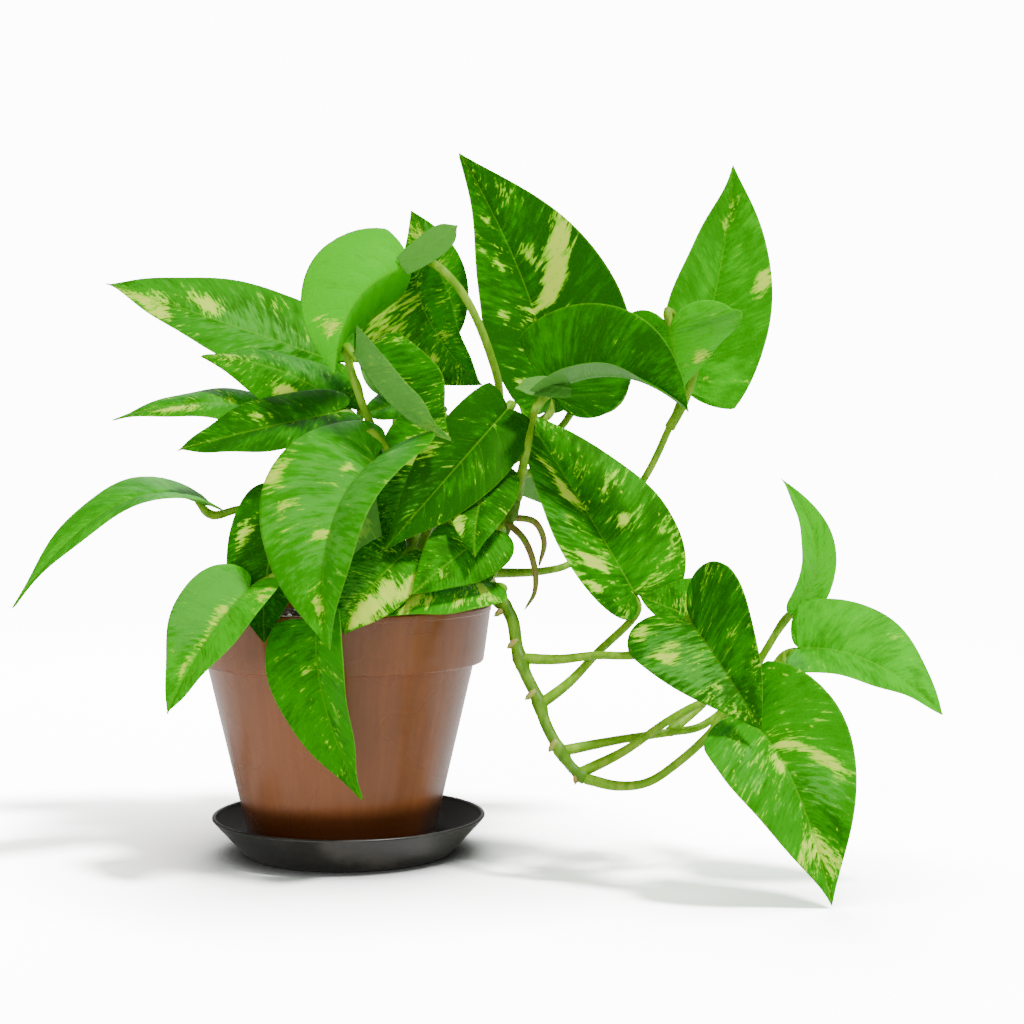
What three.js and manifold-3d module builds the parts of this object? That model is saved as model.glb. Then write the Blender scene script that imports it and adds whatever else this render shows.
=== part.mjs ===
// Potted pothos: a variegated trailing plant in a plastic nursery pot on a saucer.
// Millimetres, +Z up. The origin is on the pot's axis, in the saucer's flat underside.

import * as THREE from 'three';
import { mergeVertices } from 'three/addons/utils/BufferGeometryUtils.js';
import Module from 'manifold-3d';

const wasm = await Module();
wasm.setup();

// Clearance between neighbouring pieces.
const GAP = 0.3;

// Saucer: an open dish, set a little to the right of the pot's axis.
const SAUCER_OFFSET_X = 3.1;
const SAUCER_FOOT_RADIUS = 41;
const SAUCER_RIM_RADIUS = 56.7;
const SAUCER_HEIGHT = 15.6;
const SAUCER_FLOOR = 2;
const SAUCER_WALL = 2;

// Pot: a straight taper with a deep band round its mouth and holes in its floor.
const POT_FOOT_RADIUS = 37.5;
const POT_BOTTOM = SAUCER_FLOOR + GAP;
const POT_FLOOR = 2.4;
const POT_FOOT_RECESS = 1;
const POT_WALL = 2;
const BAND_BOTTOM = 79.3;
const BAND_STEP_RADIUS = 55.3;
const BAND_BOTTOM_RADIUS = 59.2;
const RIM_RADIUS = 62.5;
const RIM_TOP = 103.3;
const RIM_ROUND = 0.8;
const DRAIN_HOLES = 6;
const DRAIN_HOLE_RADIUS = 3.5;
const DRAIN_CIRCLE_RADIUS = 22;

// Soil: fills the pot to just under the rim, heaped a little in the middle.
const SOIL_TOP = 96;
const SOIL_HEAP = 3;
const SOIL_LUMP = 0.7;

const ROUND_SIDES = 36;

// Leaf blades. The outline is a heart drawn along a midrib of length 1 and width 1.
const BLADE_THICKNESS = 0.8;
const LOBE_START = 0.34;
const LOBE_ROWS = 3;
const BLADE_ROWS = 6;
const HALF_COLUMNS = 2;
const VEIN_SWEEP = 1.25;

// Stalks.
const STEM_RADIUS = 2.7;
const STEM_SIDES = 8;
const STALK_RADIUS = 1.75;
const STALK_SIDES = 6;
const STALK_STEP = 13;
const STALK_UNDER_BLADE = 3;
const STALK_RUN_UP = 6;
const STALK_DROP = 2;
const ROOT_RADIUS = 1.5;
const NODE_RADIUS = 3.4;

// Each leaf: base, middle and tip of its midrib, the way its upper face looks, its width,
// the fold of its left and right half and the curl of its margins in degrees, the size of
// its basal lobes, and where along the midrib it is widest.
const LEAVES = {
  leaf_01: [[-4, 25, 204], [-53, 20, 221], [-98, 8, 236], [-0.05, -0.8, 0.6], 54, 28, 0, -10, 1, 0.3],
  leaf_02: [[31, -34, 240], [10, -46, 225], [2, -50, 196], [0.25, -0.9, 0.35], 51, -60, 0, -30, 0.2, 0.32],
  leaf_03: [[37, 6, 217], [37, 9, 243], [29, 4, 266], [0.1, -1, 0], 30, 12, 12, -10, 1, 0.28],
  leaf_04: [[31, -12, 240], [40, -16, 215], [59, -20, 193], [-0.1, -1, 0.15], 60, 70, 5, -10, 1, 0.24],
  leaf_05: [[10, -46, 205], [27, -60, 183], [48, -67, 171], [0.55, -0.35, 0.75], 46, 60, 50, 0, 0, 0.42],
  leaf_06: [[2, -6, 185], [-26, -8, 200], [-56, -10, 205], [-0.1, -0.85, 0.5], 36, 0, -30, -10, 1, 0.24],
  leaf_07: [[-30, -8, 182], [-56, -14, 186], [-90, -22, 179], [-0.2, -0.6, 0.8], 25, 10, 5, -20, 1, 0.24],
  leaf_08: [[1, -28, 182], [-30, -38, 175], [-60, -45, 167], [0, -0.6, 0.8], 36, 10, 10, -10, 1, 0.3],
  leaf_09: [[19, -64, 164], [3, -84, 137], [4, -95, 94], [-0.15, -0.95, 0.3], 72, 62, -4, -24, 1.9, 0.22],
  leaf_10: [[-18, -44, 147], [-24, -54, 119], [-24, -63, 93], [-0.2, -1, 0.1], 36, 10, 10, -10, 0.8, 0.26],
  leaf_11: [[-3, -70, 102], [0, -74, 72], [13, -60, 32], [-0.2, -1, 0.05], 42, 52, 0, -10, 0.3, 0.28],
  leaf_12: [[-29, -66, 115], [-44, -76, 96], [-59, -78, 68], [-0.35, -0.9, 0.2], 46, 42, 0, -10, 1, 0.24],
  leaf_13: [[-52, -30, 146], [-84, -50, 145], [-120, -66, 107], [-0.2, -0.45, 0.85], 38, 20, 5, -10, 0.6, 0.26],
  leaf_14: [[88, 20, 189], [76, 24, 237], [49, 8, 290], [0.1, -1, 0.1], 78, 52, 6, -12, 1, 0.28],
  leaf_15: [[85, -36, 190], [113, -46, 196], [139, -58, 182], [0, -0.7, 0.7], 58, 45, 54, -6, 0.1, 0.26],
  leaf_16: [[119, -44, 111], [99, -34, 145], [74, -14, 185], [0.1, -0.95, 0.3], 60, 50, 2, -12, 1.1, 0.28],
  leaf_17: [[139, -72, 102], [149, -92, 87], [162, -104, 66], [-0.53, -0.8, 0.28], 54, 18, 38, -10, 2, 0.05],
  leaf_18: [[150, -43, 97], [136, -49, 104], [121, -49, 110], [0, -0.6, 0.8], 34, 5, 35, -6, 1, 0.24],
  leaf_19: [[155, -88, 69], [173, -98, 48], [188, -103, 1], [-0.15, -0.95, 0.25], 57, 2, 46, -10, 0.6, 0.3],
  leaf_20: [[181, -62, 91], [207, -72, 87], [233, -80, 68], [0.05, -0.9, 0.45], 46, 0, 48, -10, 0.5, 0.28],
  leaf_21: [[182, -48, 104], [190, -44, 129], [177, -40, 156], [0.4, -0.9, 0.1], 17, 25, 25, -10, 0.4, 0.35],
  leaf_22: [[145, 16, 191], [158, 20, 239], [163, 8, 285], [0.1, -1, 0.1], 52, 44, 6, -12, 0.2, 0.3],
  leaf_23: [[134, -24, 216], [137, -18, 205], [141, -6, 192], [0.1, -0.95, 0.3], 62, 8, -58, -6, 3, 0.2],
  leaf_24: [[69, -36, 183], [48, -54, 159], [22, -68, 129], [0.1, -0.75, 0.6], 35, 5, 50, -10, 0.3, 0.36],
  leaf_25: [[42, -38, 176], [33, -45, 152], [21, -54, 129], [0.1, -0.95, 0.3], 38, 5, 5, -10, 0.8, 0.26],
  leaf_26: [[29, -60, 127], [15, -74, 112], [8, -79, 98], [0.2, -0.8, 0.5], 27, 5, 5, -10, 1, 0.26],
  leaf_27: [[62, -54, 116], [38, -63, 113], [14, -67, 104], [0.1, -0.65, 0.7], 36, 20, 0, -10, 0.7, 0.26],
  leaf_28: [[64, -48, 159], [58, -61, 144], [57, -75, 127], [-0.1, -0.95, 0.3], 26, 5, 5, -10, 1, 0.26],
  leaf_29: [[63, -55, 136], [49, -66, 126], [33, -77, 113], [0.1, -0.85, 0.5], 30, 5, 5, -10, 1, 0.26],
  leaf_30: [[21, 30, 164], [0, 62, 140], [-15, 78, 100], [-0.3, 0.9, 0.3], 52, 5, 5, -20, 1, 0.26],
  leaf_31: [[43, 30, 179], [48, 62, 148], [49, 84, 109], [0.2, 0.95, 0.3], 46, 5, 5, -20, 1, 0.26],
  leaf_32: [[98, 44, 188], [97, 56, 219], [90, 60, 259], [0.1, 1, 0.2], 50, 10, 10, -15, 1, 0.26],
  leaf_33: [[24, 31, 196], [24, 47, 223], [27, 54, 249], [-0.1, 1, 0.3], 38, 10, 10, -15, 1, 0.26],
  leaf_34: [[-8, 40, 184], [-24, 52, 200], [-39, 56, 219], [-0.3, 0.8, 0.6], 40, 10, 10, -15, 1, 0.26],
  leaf_35: [[80, 30, 158], [101, 50, 146], [119, 66, 120], [0.3, 0.8, 0.5], 40, 10, 10, -15, 1, 0.26],
  leaf_36: [[36, -14, 187], [24, -23, 185], [9, -26, 180], [0.1, -0.5, 0.9], 30, 10, 10, -15, 1, 0.26],
};

// Basal lobes that have turned over, in rows like those of the leaves that they are part of.
const TURNED_LOBES = {
  leaf_02: [[27.5, -36.5, 239.5], [41, -44, 248], [50, -48, 254.5], [0.1, 1, 0.1], 11, 0, 0, 0, 0, 0.5],
  leaf_15: [[94, -42, 191], [83, -45, 192], [72, -47, 191], [0.1, 0.7, -0.7], 12, 0, 0, 0, 0, 0.5],
};

// Each stem: the line of its trunk from inside the soil, the stalks that leave it, each on
// its way to one leaf, bare side roots, and the swollen nodes that carry root stubs.
const STEMS = {
  stem_left: {
    trunk: [[-12, -4, 72], [-11, -4, 100], [-6, -5, 128], [2, -6, 152]],
    stalks: {
      leaf_01: [[-1, -5, 144], [6, 2, 168], [7, 14, 190]],
      leaf_06: [[2, -6, 152], [12, -6, 168]],
      leaf_07: [[-8, -5, 122], [-16, -3, 150], [-22, -4, 172]],
      leaf_08: [[0, -6, 148], [8, -16, 166]],
      leaf_13: [[-11, -4, 102], [-20, -16, 128], [-36, -26, 143]],
      leaf_34: [[-8, -5, 122], [-14, 12, 150], [-12, 30, 172]],
    },
    roots: [],
    nodes: [[-8, -5, 122], [-1, -5, 144]],
  },
  stem_front: {
    trunk: [[6, -24, 72], [5, -26, 100], [4, -30, 124]],
    stalks: {
      leaf_09: [[4, -30, 122], [8, -42, 152], [16, -52, 174]],
      leaf_10: [[4, -29, 118], [-8, -34, 138]],
      leaf_11: [[4, -28, 112], [-2, -48, 118], [-5, -64, 114]],
      leaf_12: [[4, -27, 108], [0, -46, 116], [-8, -60, 119], [-17, -62, 120]],
      leaf_26: [[5, -26, 104], [26, -40, 116], [36, -52, 126]],
    },
    roots: [],
    nodes: [[4, -29, 118], [4, -27, 108]],
  },
  stem_centre: {
    trunk: [[28, 0, 72], [28, 0, 100], [30, -2, 130], [34, -4, 158]],
    stalks: {
      leaf_02: [[32, -3, 142], [58, -10, 160], [66, -22, 187], [62, -32, 206], [52, -40, 228], [42, -40, 239]],
      leaf_03: [[34, -4, 156], [40, 2, 190]],
      leaf_04: [[34, -4, 156], [34, 0, 200], [30, -2, 236]],
      leaf_05: [[30, -2, 130], [23, -28, 158], [12, -42, 186]],
      leaf_25: [[29, -1, 118], [42, -24, 148], [46, -36, 172]],
      leaf_33: [[33, -4, 152], [22, 14, 176]],
      leaf_36: [[33, -4, 152], [40, -8, 178]],
    },
    roots: [],
    nodes: [[30, -2, 130], [33, -3, 148]],
  },
  stem_right: {
    trunk: [[42, -12, 72], [44, -13, 96], [54, -17, 110], [61, -21, 117], [68, -24, 134], [73, -29, 148]],
    stalks: {
      leaf_15: [[73, -29, 148], [76, -46, 164]],
      leaf_22: [[61, -21, 117], [84, -8, 117], [96, 0, 120], [112, 6, 135], [128, 10, 157], [137, 10, 176]],
      leaf_23: [[137, 10, 176], [143, 4, 188], [146, -6, 204]],
      leaf_24: [[71, -27, 142], [64, -31, 160], [68, -30, 179]],
      leaf_28: [[68, -24, 134], [70, -30, 150]],
    },
    roots: [
      [[69, -26, 138], [76, -30, 131], [80, -31, 120], [80, -30, 110], [76, -29, 103]],
      [[70, -25, 140], [80, -22, 138], [84, -18, 130], [82, -10, 119]],
    ],
    nodes: [[61, -21, 117], [71, -27, 142]],
  },
  stem_vine: {
    trunk: [
      [40, -26, 72], [42, -28, 98], [52, -34, 108], [60, -38, 110], [66, -42, 108], [71, -46, 101],
      [73, -50, 90], [76, -54, 81], [81, -58, 71], [84, -62, 62], [89, -66, 53], [94, -68, 46], [99, -70, 42],
    ],
    stalks: {
      leaf_27: [[56, -36, 110], [66, -41, 112]],
      leaf_29: [[60, -38, 110], [66, -38, 128]],
      leaf_17: [[75, -52, 86], [89, -55, 86], [103, -59, 88], [119, -65, 89], [131, -67, 94]],
      leaf_16: [[82, -59, 69], [93, -56, 77], [104, -52, 88]],
      leaf_21: [[90, -66, 52], [114, -62, 56], [132, -58, 58], [145, -54, 60], [160, -50, 72], [170, -48, 88]],
      leaf_20: [[97, -69, 44], [114, -66, 52], [132, -64, 64], [144, -62, 70], [166, -60, 77]],
      leaf_18: [[132, -58, 58], [150, -46, 72], [158, -40, 88]],
      leaf_19: [[99, -70, 42], [111, -74, 40], [122, -78, 42], [133, -82, 50], [145, -86, 62]],
    },
    roots: [
      [[68, -44, 105], [64, -47, 102]],
      [[73, -50, 93], [69, -52, 90]],
      [[80, -58, 74], [76, -60, 71]],
      [[88, -66, 56], [85, -68, 52]],
      [[96, -69, 45], [95, -71, 40]],
    ],
    nodes: [[66, -42, 108], [75, -52, 86], [82, -59, 69], [90, -66, 52], [98, -70, 43]],
  },
  stem_back: {
    trunk: [[26, 24, 72], [27, 24, 100], [34, 22, 130], [48, 22, 148]],
    stalks: {
      leaf_14: [[46, 22, 146], [66, 20, 160], [82, 18, 178]],
      leaf_30: [[32, 22, 124], [26, 20, 158]],
      leaf_31: [[44, 22, 142], [44, 24, 166]],
      leaf_32: [[48, 22, 148], [72, 32, 162], [92, 40, 176]],
      leaf_35: [[38, 22, 136], [62, 24, 150]],
    },
    roots: [],
    nodes: [[32, 22, 124], [44, 22, 143]],
  },
};

const MATERIALS = {
  pot: new THREE.MeshStandardMaterial({ color: 0x7a4a2c, roughness: 0.35, metalness: 0 }),
  saucer: new THREE.MeshStandardMaterial({ color: 0x3a3a36, roughness: 0.6, metalness: 0 }),
  soil: new THREE.MeshStandardMaterial({ color: 0x33231a, roughness: 0.95, metalness: 0 }),
  stem: new THREE.MeshStandardMaterial({ color: 0x9cc040, roughness: 0.5, metalness: 0 }),
  leaf: new THREE.MeshStandardMaterial({ color: 0x3f9a24, roughness: 0.4, metalness: 0 }),
};

const vector = (point) => new THREE.Vector3(...point);

// Turns a closed geometry into a solid with its faces pointing out.
function solidOf(geometry) {
  const bare = new THREE.BufferGeometry();
  bare.setAttribute('position', geometry.getAttribute('position'));
  bare.setIndex(geometry.getIndex());
  const merged = mergeVertices(bare, 1e-4);
  const position = merged.getAttribute('position');
  const index = merged.getIndex().array;
  const triangles = [];
  let volume = 0;
  for (let i = 0; i < index.length; i += 3) {
    const [a, b, c] = [index[i], index[i + 1], index[i + 2]];
    if (a === b || b === c || c === a) continue;
    triangles.push(a, b, c);
    const [p, q, r] = [a, b, c].map((k) => new THREE.Vector3().fromBufferAttribute(position, k));
    volume += p.dot(q.cross(r));
  }
  if (volume < 0) triangles.reverse();
  const mesh = new wasm.Mesh({
    numProp: 3,
    vertProperties: Float32Array.from(position.array),
    triVerts: Uint32Array.from(triangles),
  });
  mesh.merge();
  return new wasm.Manifold(mesh);
}

function meshOf(name, solid, material) {
  const { vertProperties, triVerts } = solid.getMesh();
  const geometry = new THREE.BufferGeometry();
  geometry.setAttribute('position', new THREE.BufferAttribute(vertProperties, 3));
  geometry.setIndex(new THREE.BufferAttribute(triVerts, 1));
  geometry.computeVertexNormals();
  const mesh = new THREE.Mesh(geometry, material);
  mesh.name = name;
  return mesh;
}

const largest = (solid) => solid.decompose().sort((a, b) => b.volume() - a.volume())[0];

// Revolves a profile of [radius, height] pairs round the Z axis.
function revolve(profile) {
  const points = profile.map(([radius, height]) => new THREE.Vector2(radius, height));
  const geometry = new THREE.LatheGeometry(points, ROUND_SIDES);
  geometry.rotateX(Math.PI / 2);
  return geometry;
}

function saucerSolid() {
  const wallFoot = SAUCER_FOOT_RADIUS + 3.6;
  const inner = SAUCER_RIM_RADIUS - SAUCER_WALL;
  const dish = revolve([
    [0, 0],
    [SAUCER_FOOT_RADIUS, 0],
    [wallFoot - 1, 0.5],
    [wallFoot, 1.6],
    [SAUCER_RIM_RADIUS - 0.3, SAUCER_HEIGHT - 1],
    [SAUCER_RIM_RADIUS, SAUCER_HEIGHT - 0.4],
    [SAUCER_RIM_RADIUS - 0.5, SAUCER_HEIGHT],
    [inner + 0.6, SAUCER_HEIGHT - 0.1],
    [inner, SAUCER_HEIGHT - 0.8],
    [wallFoot - 1.2, SAUCER_FLOOR + 1],
    [wallFoot - 2.6, SAUCER_FLOOR],
    [0, SAUCER_FLOOR],
  ]);
  return solidOf(dish.translate(SAUCER_OFFSET_X, 0, 0));
}

// Radius of the pot's straight outer wall at a height.
function potRadius(height) {
  const share = (height - POT_BOTTOM) / (BAND_BOTTOM - POT_BOTTOM);
  return THREE.MathUtils.lerp(POT_FOOT_RADIUS, BAND_STEP_RADIUS, share);
}

// Radius of the cavity at a height, below the band and inside it.
function cavityRadius(height) {
  if (height <= BAND_BOTTOM) return potRadius(height) - POT_WALL;
  const share = (height - BAND_BOTTOM) / (RIM_TOP - BAND_BOTTOM);
  return THREE.MathUtils.lerp(BAND_BOTTOM_RADIUS, RIM_RADIUS, share) - POT_WALL;
}

function potSolid() {
  const floorTop = POT_BOTTOM + POT_FOOT_RECESS + POT_FLOOR;
  const recessRadius = POT_FOOT_RADIUS - 7;
  const bandTop = BAND_BOTTOM + 2;
  const shell = solidOf(revolve([
    [0, POT_BOTTOM + POT_FOOT_RECESS],
    [recessRadius, POT_BOTTOM + POT_FOOT_RECESS],
    [recessRadius + 1, POT_BOTTOM],
    [POT_FOOT_RADIUS - 0.4, POT_BOTTOM],
    [potRadius(POT_BOTTOM + 1), POT_BOTTOM + 1],
    [BAND_STEP_RADIUS, BAND_BOTTOM],
    [BAND_BOTTOM_RADIUS - 0.8, BAND_BOTTOM + 0.2],
    [BAND_BOTTOM_RADIUS, BAND_BOTTOM + 1.2],
    [RIM_RADIUS, RIM_TOP - RIM_ROUND],
    [RIM_RADIUS - RIM_ROUND * 0.5, RIM_TOP],
    [RIM_RADIUS - POT_WALL + RIM_ROUND * 0.5, RIM_TOP],
    [cavityRadius(RIM_TOP - RIM_ROUND), RIM_TOP - RIM_ROUND],
    [cavityRadius(bandTop), bandTop],
    [cavityRadius(BAND_BOTTOM), BAND_BOTTOM - 2],
    [cavityRadius(floorTop + 2), floorTop + 2],
    [cavityRadius(floorTop) - 2, floorTop],
    [0, floorTop],
  ]));
  let pot = shell;
  for (let k = 0; k < DRAIN_HOLES; k += 1) {
    const angle = (2 * Math.PI * k) / DRAIN_HOLES;
    const drill = new THREE.CylinderGeometry(DRAIN_HOLE_RADIUS, DRAIN_HOLE_RADIUS, 4 * POT_FLOOR, 12);
    drill.rotateX(Math.PI / 2);
    drill.translate(DRAIN_CIRCLE_RADIUS * Math.cos(angle), DRAIN_CIRCLE_RADIUS * Math.sin(angle), floorTop);
    pot = pot.subtract(solidOf(drill));
  }
  return pot;
}

// Height of the soil at a place: a low heap with shallow lumps.
function soilHeight(x, y) {
  const reach = Math.hypot(x, y) / RIM_RADIUS;
  const lumps = Math.sin(0.31 * x + 1.2) * Math.cos(0.27 * y) + Math.sin(0.17 * (x + y));
  return SOIL_TOP + SOIL_HEAP * (1 - reach * reach) + SOIL_LUMP * lumps;
}

function soilSolid() {
  const bottom = POT_BOTTOM + POT_FOOT_RECESS + POT_FLOOR + GAP;
  const shoulder = BAND_BOTTOM + 2 + GAP;
  const side = (height) => cavityRadius(height) - GAP;
  const edge = side(SOIL_TOP - 3);
  const heap = revolve([
    [0, bottom],
    [side(bottom) - 2.4, bottom],
    [side(bottom + 2), bottom + 2.4],
    [side(BAND_BOTTOM) - 0.3, BAND_BOTTOM - 2],
    [side(shoulder), shoulder + 1],
    [edge, SOIL_TOP - 3],
    [edge - 1.5, SOIL_TOP],
    [edge * 0.75, SOIL_TOP],
    [edge * 0.5, SOIL_TOP],
    [edge * 0.25, SOIL_TOP],
    [0, SOIL_TOP],
  ]);
  const position = heap.getAttribute('position');
  for (let i = 0; i < position.count; i += 1) {
    if (position.getZ(i) > SOIL_TOP - 1) {
      position.setZ(i, soilHeight(position.getX(i), position.getY(i)));
    }
  }
  let soil = solidOf(heap);
  for (const stem of Object.values(STEMS)) {
    soil = soil.subtract(tube(stem.trunk, STEM_RADIUS + GAP, STEM_SIDES));
    soil = soil.subtract(knob(stem.trunk[0], STEM_RADIUS + 3 * GAP));
  }
  return soil;
}

function bezier(points, q) {
  const p = 1 - q;
  const weights = [p ** 3, 3 * p * p * q, 3 * p * q * q, q ** 3];
  return [0, 1].map((axis) => points.reduce((sum, point, k) => sum + weights[k] * point[axis], 0));
}

// Rows of a half blade as [place on the midrib, place along the leaf, half width].
function bladeRows(lobe, peak) {
  const rear = [[0, 0], [-0.2, 0.1], [-0.14, 0.5], [peak, 0.5]];
  const front = [[peak, 0.5], [peak + 0.34, 0.5], [0.85, 0.14], [1, 0]];
  const margin = [];
  for (let k = 0; k <= LOBE_ROWS; k += 1) {
    const [along, across] = bezier(rear, LOBE_START + ((1 - LOBE_START) * k) / LOBE_ROWS);
    margin.push([along < 0 ? along * lobe : along, across]);
  }
  for (let k = 1; k <= BLADE_ROWS; k += 1) margin.push(bezier(front, k / BLADE_ROWS));
  const first = LOBE_ROWS - 1;
  const last = margin.length - 1;
  return margin.map(([along, across], k) => [Math.max(0, (k - first) / (last - first)), along, across]);
}

// The midrib as a parabola through base, middle and tip, carried on straight behind the base.
function midrib(base, middle, tip) {
  const control = middle.clone().multiplyScalar(2).addScaledVector(base, -0.5).addScaledVector(tip, -0.5);
  const start = control.clone().sub(base).multiplyScalar(2);
  const end = tip.clone().sub(control).multiplyScalar(2);
  const point = (t) => {
    if (t < 0) return base.clone().addScaledVector(start, t);
    const onward = base.clone().lerp(control, t);
    return onward.lerp(control.clone().lerp(tip, t), t);
  };
  const direction = (t) => start.clone().lerp(end, Math.max(0, t)).normalize();
  return { point, direction };
}

function bladeFrame(leaf) {
  const [base, middle, tip, face] = leaf.slice(0, 4).map(vector);
  const rib = midrib(base, middle, tip);
  const sideways = (t) => face.clone().cross(rib.direction(t)).normalize();
  const upward = (t) => rib.direction(t).cross(sideways(t)).normalize();
  return { rib, sideways, upward };
}

// A point of the blade: along the leaf, across it, and on which side of the midrib.
function bladePoint(leaf, frame, row, column) {
  const [, , , , width, foldLeft, foldRight, curl] = leaf;
  const [onRib, along, across] = row;
  const share = Math.abs(column) / HALF_COLUMNS;
  const place = onRib + (along - onRib) * share ** VEIN_SWEEP;
  const fold = column > 0 ? foldLeft : foldRight;
  const angle = THREE.MathUtils.degToRad(fold + 0.5 * curl * share);
  const reach = across * share * width;
  return frame.rib.point(place)
    .addScaledVector(frame.sideways(place), Math.sign(column) * reach * Math.cos(angle))
    .addScaledVector(frame.upward(place), reach * Math.sin(angle));
}

// The blade as a sheet: its points, and triangles that face up.
function bladeSheet(leaf) {
  const frame = bladeFrame(leaf);
  const rows = bladeRows(leaf[8], leaf[9]);
  const last = rows.length - 1;
  const points = [frame.rib.point(0), frame.rib.point(1)];
  const numbers = new Map();
  const numberOf = (row, column) => {
    if (row === last) return 1;
    if (column === 0 && rows[row][0] === 0) return 0;
    const key = `${row} ${column}`;
    if (!numbers.has(key)) {
      numbers.set(key, points.length);
      points.push(bladePoint(leaf, frame, rows[row], column));
    }
    return numbers.get(key);
  };
  const triangles = [];
  const addTriangle = (...corners) => {
    if (new Set(corners).size === 3) triangles.push(corners);
  };
  for (let row = 0; row < last; row += 1) {
    for (let column = -HALF_COLUMNS; column < HALF_COLUMNS; column += 1) {
      const corner = numberOf(row, column);
      const opposite = numberOf(row + 1, column + 1);
      addTriangle(corner, opposite, numberOf(row, column + 1));
      addTriangle(corner, numberOf(row + 1, column), opposite);
    }
  }
  return { points, triangles };
}

// Gives a sheet a thickness: the same triangles on both faces, with walls round the margin.
// The sheet can be spread first, which moves its margin outwards.
function thicken({ points, triangles }, thickness, spread) {
  const edges = new Set(triangles.flatMap(([a, b, c]) => [`${a} ${b}`, `${b} ${c}`, `${c} ${a}`]));
  const margin = [...edges].map((edge) => edge.split(' ').map(Number))
    .filter(([a, b]) => !edges.has(`${b} ${a}`));
  const normals = points.map(() => new THREE.Vector3());
  for (const corners of triangles) {
    const [a, b, c] = corners.map((k) => points[k]);
    const normal = b.clone().sub(a).cross(c.clone().sub(a));
    corners.forEach((k) => normals[k].add(normal));
  }
  normals.forEach((normal) => normal.normalize());
  const outward = points.map(() => new THREE.Vector3());
  for (const [a, b] of margin) {
    const edge = points[b].clone().sub(points[a]).normalize();
    [a, b].forEach((k) => outward[k].add(edge.clone().cross(normals[k])));
  }
  const position = [];
  for (const side of [0.5, -0.5]) {
    points.forEach((point, k) => {
      const place = point.clone().addScaledVector(outward[k].clone().normalize(), spread);
      position.push(...place.addScaledVector(normals[k], side * thickness).toArray());
    });
  }
  const under = points.length;
  const index = [];
  for (const [a, b, c] of triangles) index.push(a, b, c, a + under, c + under, b + under);
  for (const [a, b] of margin) index.push(b, a, a + under, b, a + under, b + under);
  const geometry = new THREE.BufferGeometry();
  geometry.setAttribute('position', new THREE.Float32BufferAttribute(position, 3));
  geometry.setIndex(index);
  return geometry;
}

// A blade, grown on every side by a clearance.
const bladeSolid = (leaf, grown = 0) => (
  solidOf(thicken(bladeSheet(leaf), BLADE_THICKNESS + 2 * grown, grown))
);

function leafSolid(name, grown = 0) {
  const blade = bladeSolid(LEAVES[name], grown);
  const lobe = TURNED_LOBES[name];
  return lobe ? blade.add(bladeSolid(lobe, grown)) : blade;
}

// A round rod along a smooth line through points.
function tube(points, radius, sides) {
  const path = new THREE.CatmullRomCurve3(points.map(vector), false, 'centripetal');
  const section = new THREE.Shape();
  for (let k = 0; k < sides; k += 1) {
    const angle = (2 * Math.PI * k) / sides;
    const place = [radius * Math.cos(angle), radius * Math.sin(angle)];
    if (k === 0) section.moveTo(...place);
    else section.lineTo(...place);
  }
  section.closePath();
  const steps = Math.max(2, Math.round(path.getLength() / STALK_STEP));
  return solidOf(new THREE.ExtrudeGeometry(section, { steps, extrudePath: path, bevelEnabled: false }));
}

// The last stretch of a stalk: it rises to the blade's base and ends just under the midrib,
// midway between the two halves of a folded blade.
function stalkEnd(leaf) {
  const frame = bladeFrame(leaf);
  const [, , , , , foldLeft, foldRight] = leaf;
  const lean = THREE.MathUtils.degToRad((foldLeft - foldRight) / 2);
  const opening = THREE.MathUtils.degToRad(90 + Math.min(0, foldLeft + foldRight) / 2);
  const depth = (STALK_RADIUS + BLADE_THICKNESS / 2 + GAP) / Math.sin(opening);
  const base = frame.rib.point(0);
  const along = frame.rib.direction(0);
  const below = frame.sideways(0).multiplyScalar(Math.sin(lean));
  below.addScaledVector(frame.upward(0), -Math.cos(lean));
  const end = base.clone().addScaledVector(along, STALK_UNDER_BLADE).addScaledVector(below, depth);
  const before = base.clone().addScaledVector(along, -STALK_RUN_UP);
  before.addScaledVector(below, depth + STALK_DROP);
  return [before.toArray(), end.toArray()];
}

function knob(centre, radius) {
  return solidOf(new THREE.OctahedronGeometry(radius, 1).translate(...centre));
}

function stemSolid(stem) {
  let solid = tube(stem.trunk, STEM_RADIUS, STEM_SIDES);
  for (const [name, way] of Object.entries(stem.stalks)) {
    solid = solid.add(tube([...way, ...stalkEnd(LEAVES[name])], STALK_RADIUS, STALK_SIDES));
  }
  for (const way of stem.roots) solid = solid.add(tube(way, ROOT_RADIUS, STALK_SIDES));
  for (const centre of stem.nodes) solid = solid.add(knob(centre, NODE_RADIUS));
  for (const name of Object.keys(stem.stalks)) {
    solid = solid.subtract(leafSolid(name, GAP));
  }
  return largest(solid);
}

const group = new THREE.Group();
group.add(meshOf('saucer', saucerSolid(), MATERIALS.saucer));
group.add(meshOf('pot', potSolid(), MATERIALS.pot));
group.add(meshOf('soil', soilSolid(), MATERIALS.soil));
for (const [name, stem] of Object.entries(STEMS)) {
  group.add(meshOf(name, stemSolid(stem), MATERIALS.stem));
}
for (const name of Object.keys(LEAVES)) group.add(meshOf(name, leafSolid(name), MATERIALS.leaf));

export default group;
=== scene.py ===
"""A potted pothos: variegated leaves and stems in a brown plastic pot on a dark saucer.

Tables, routes and profiles are in millimetres, as in the CAD, and meshes are built in metres.
"""
import math
import random

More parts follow.
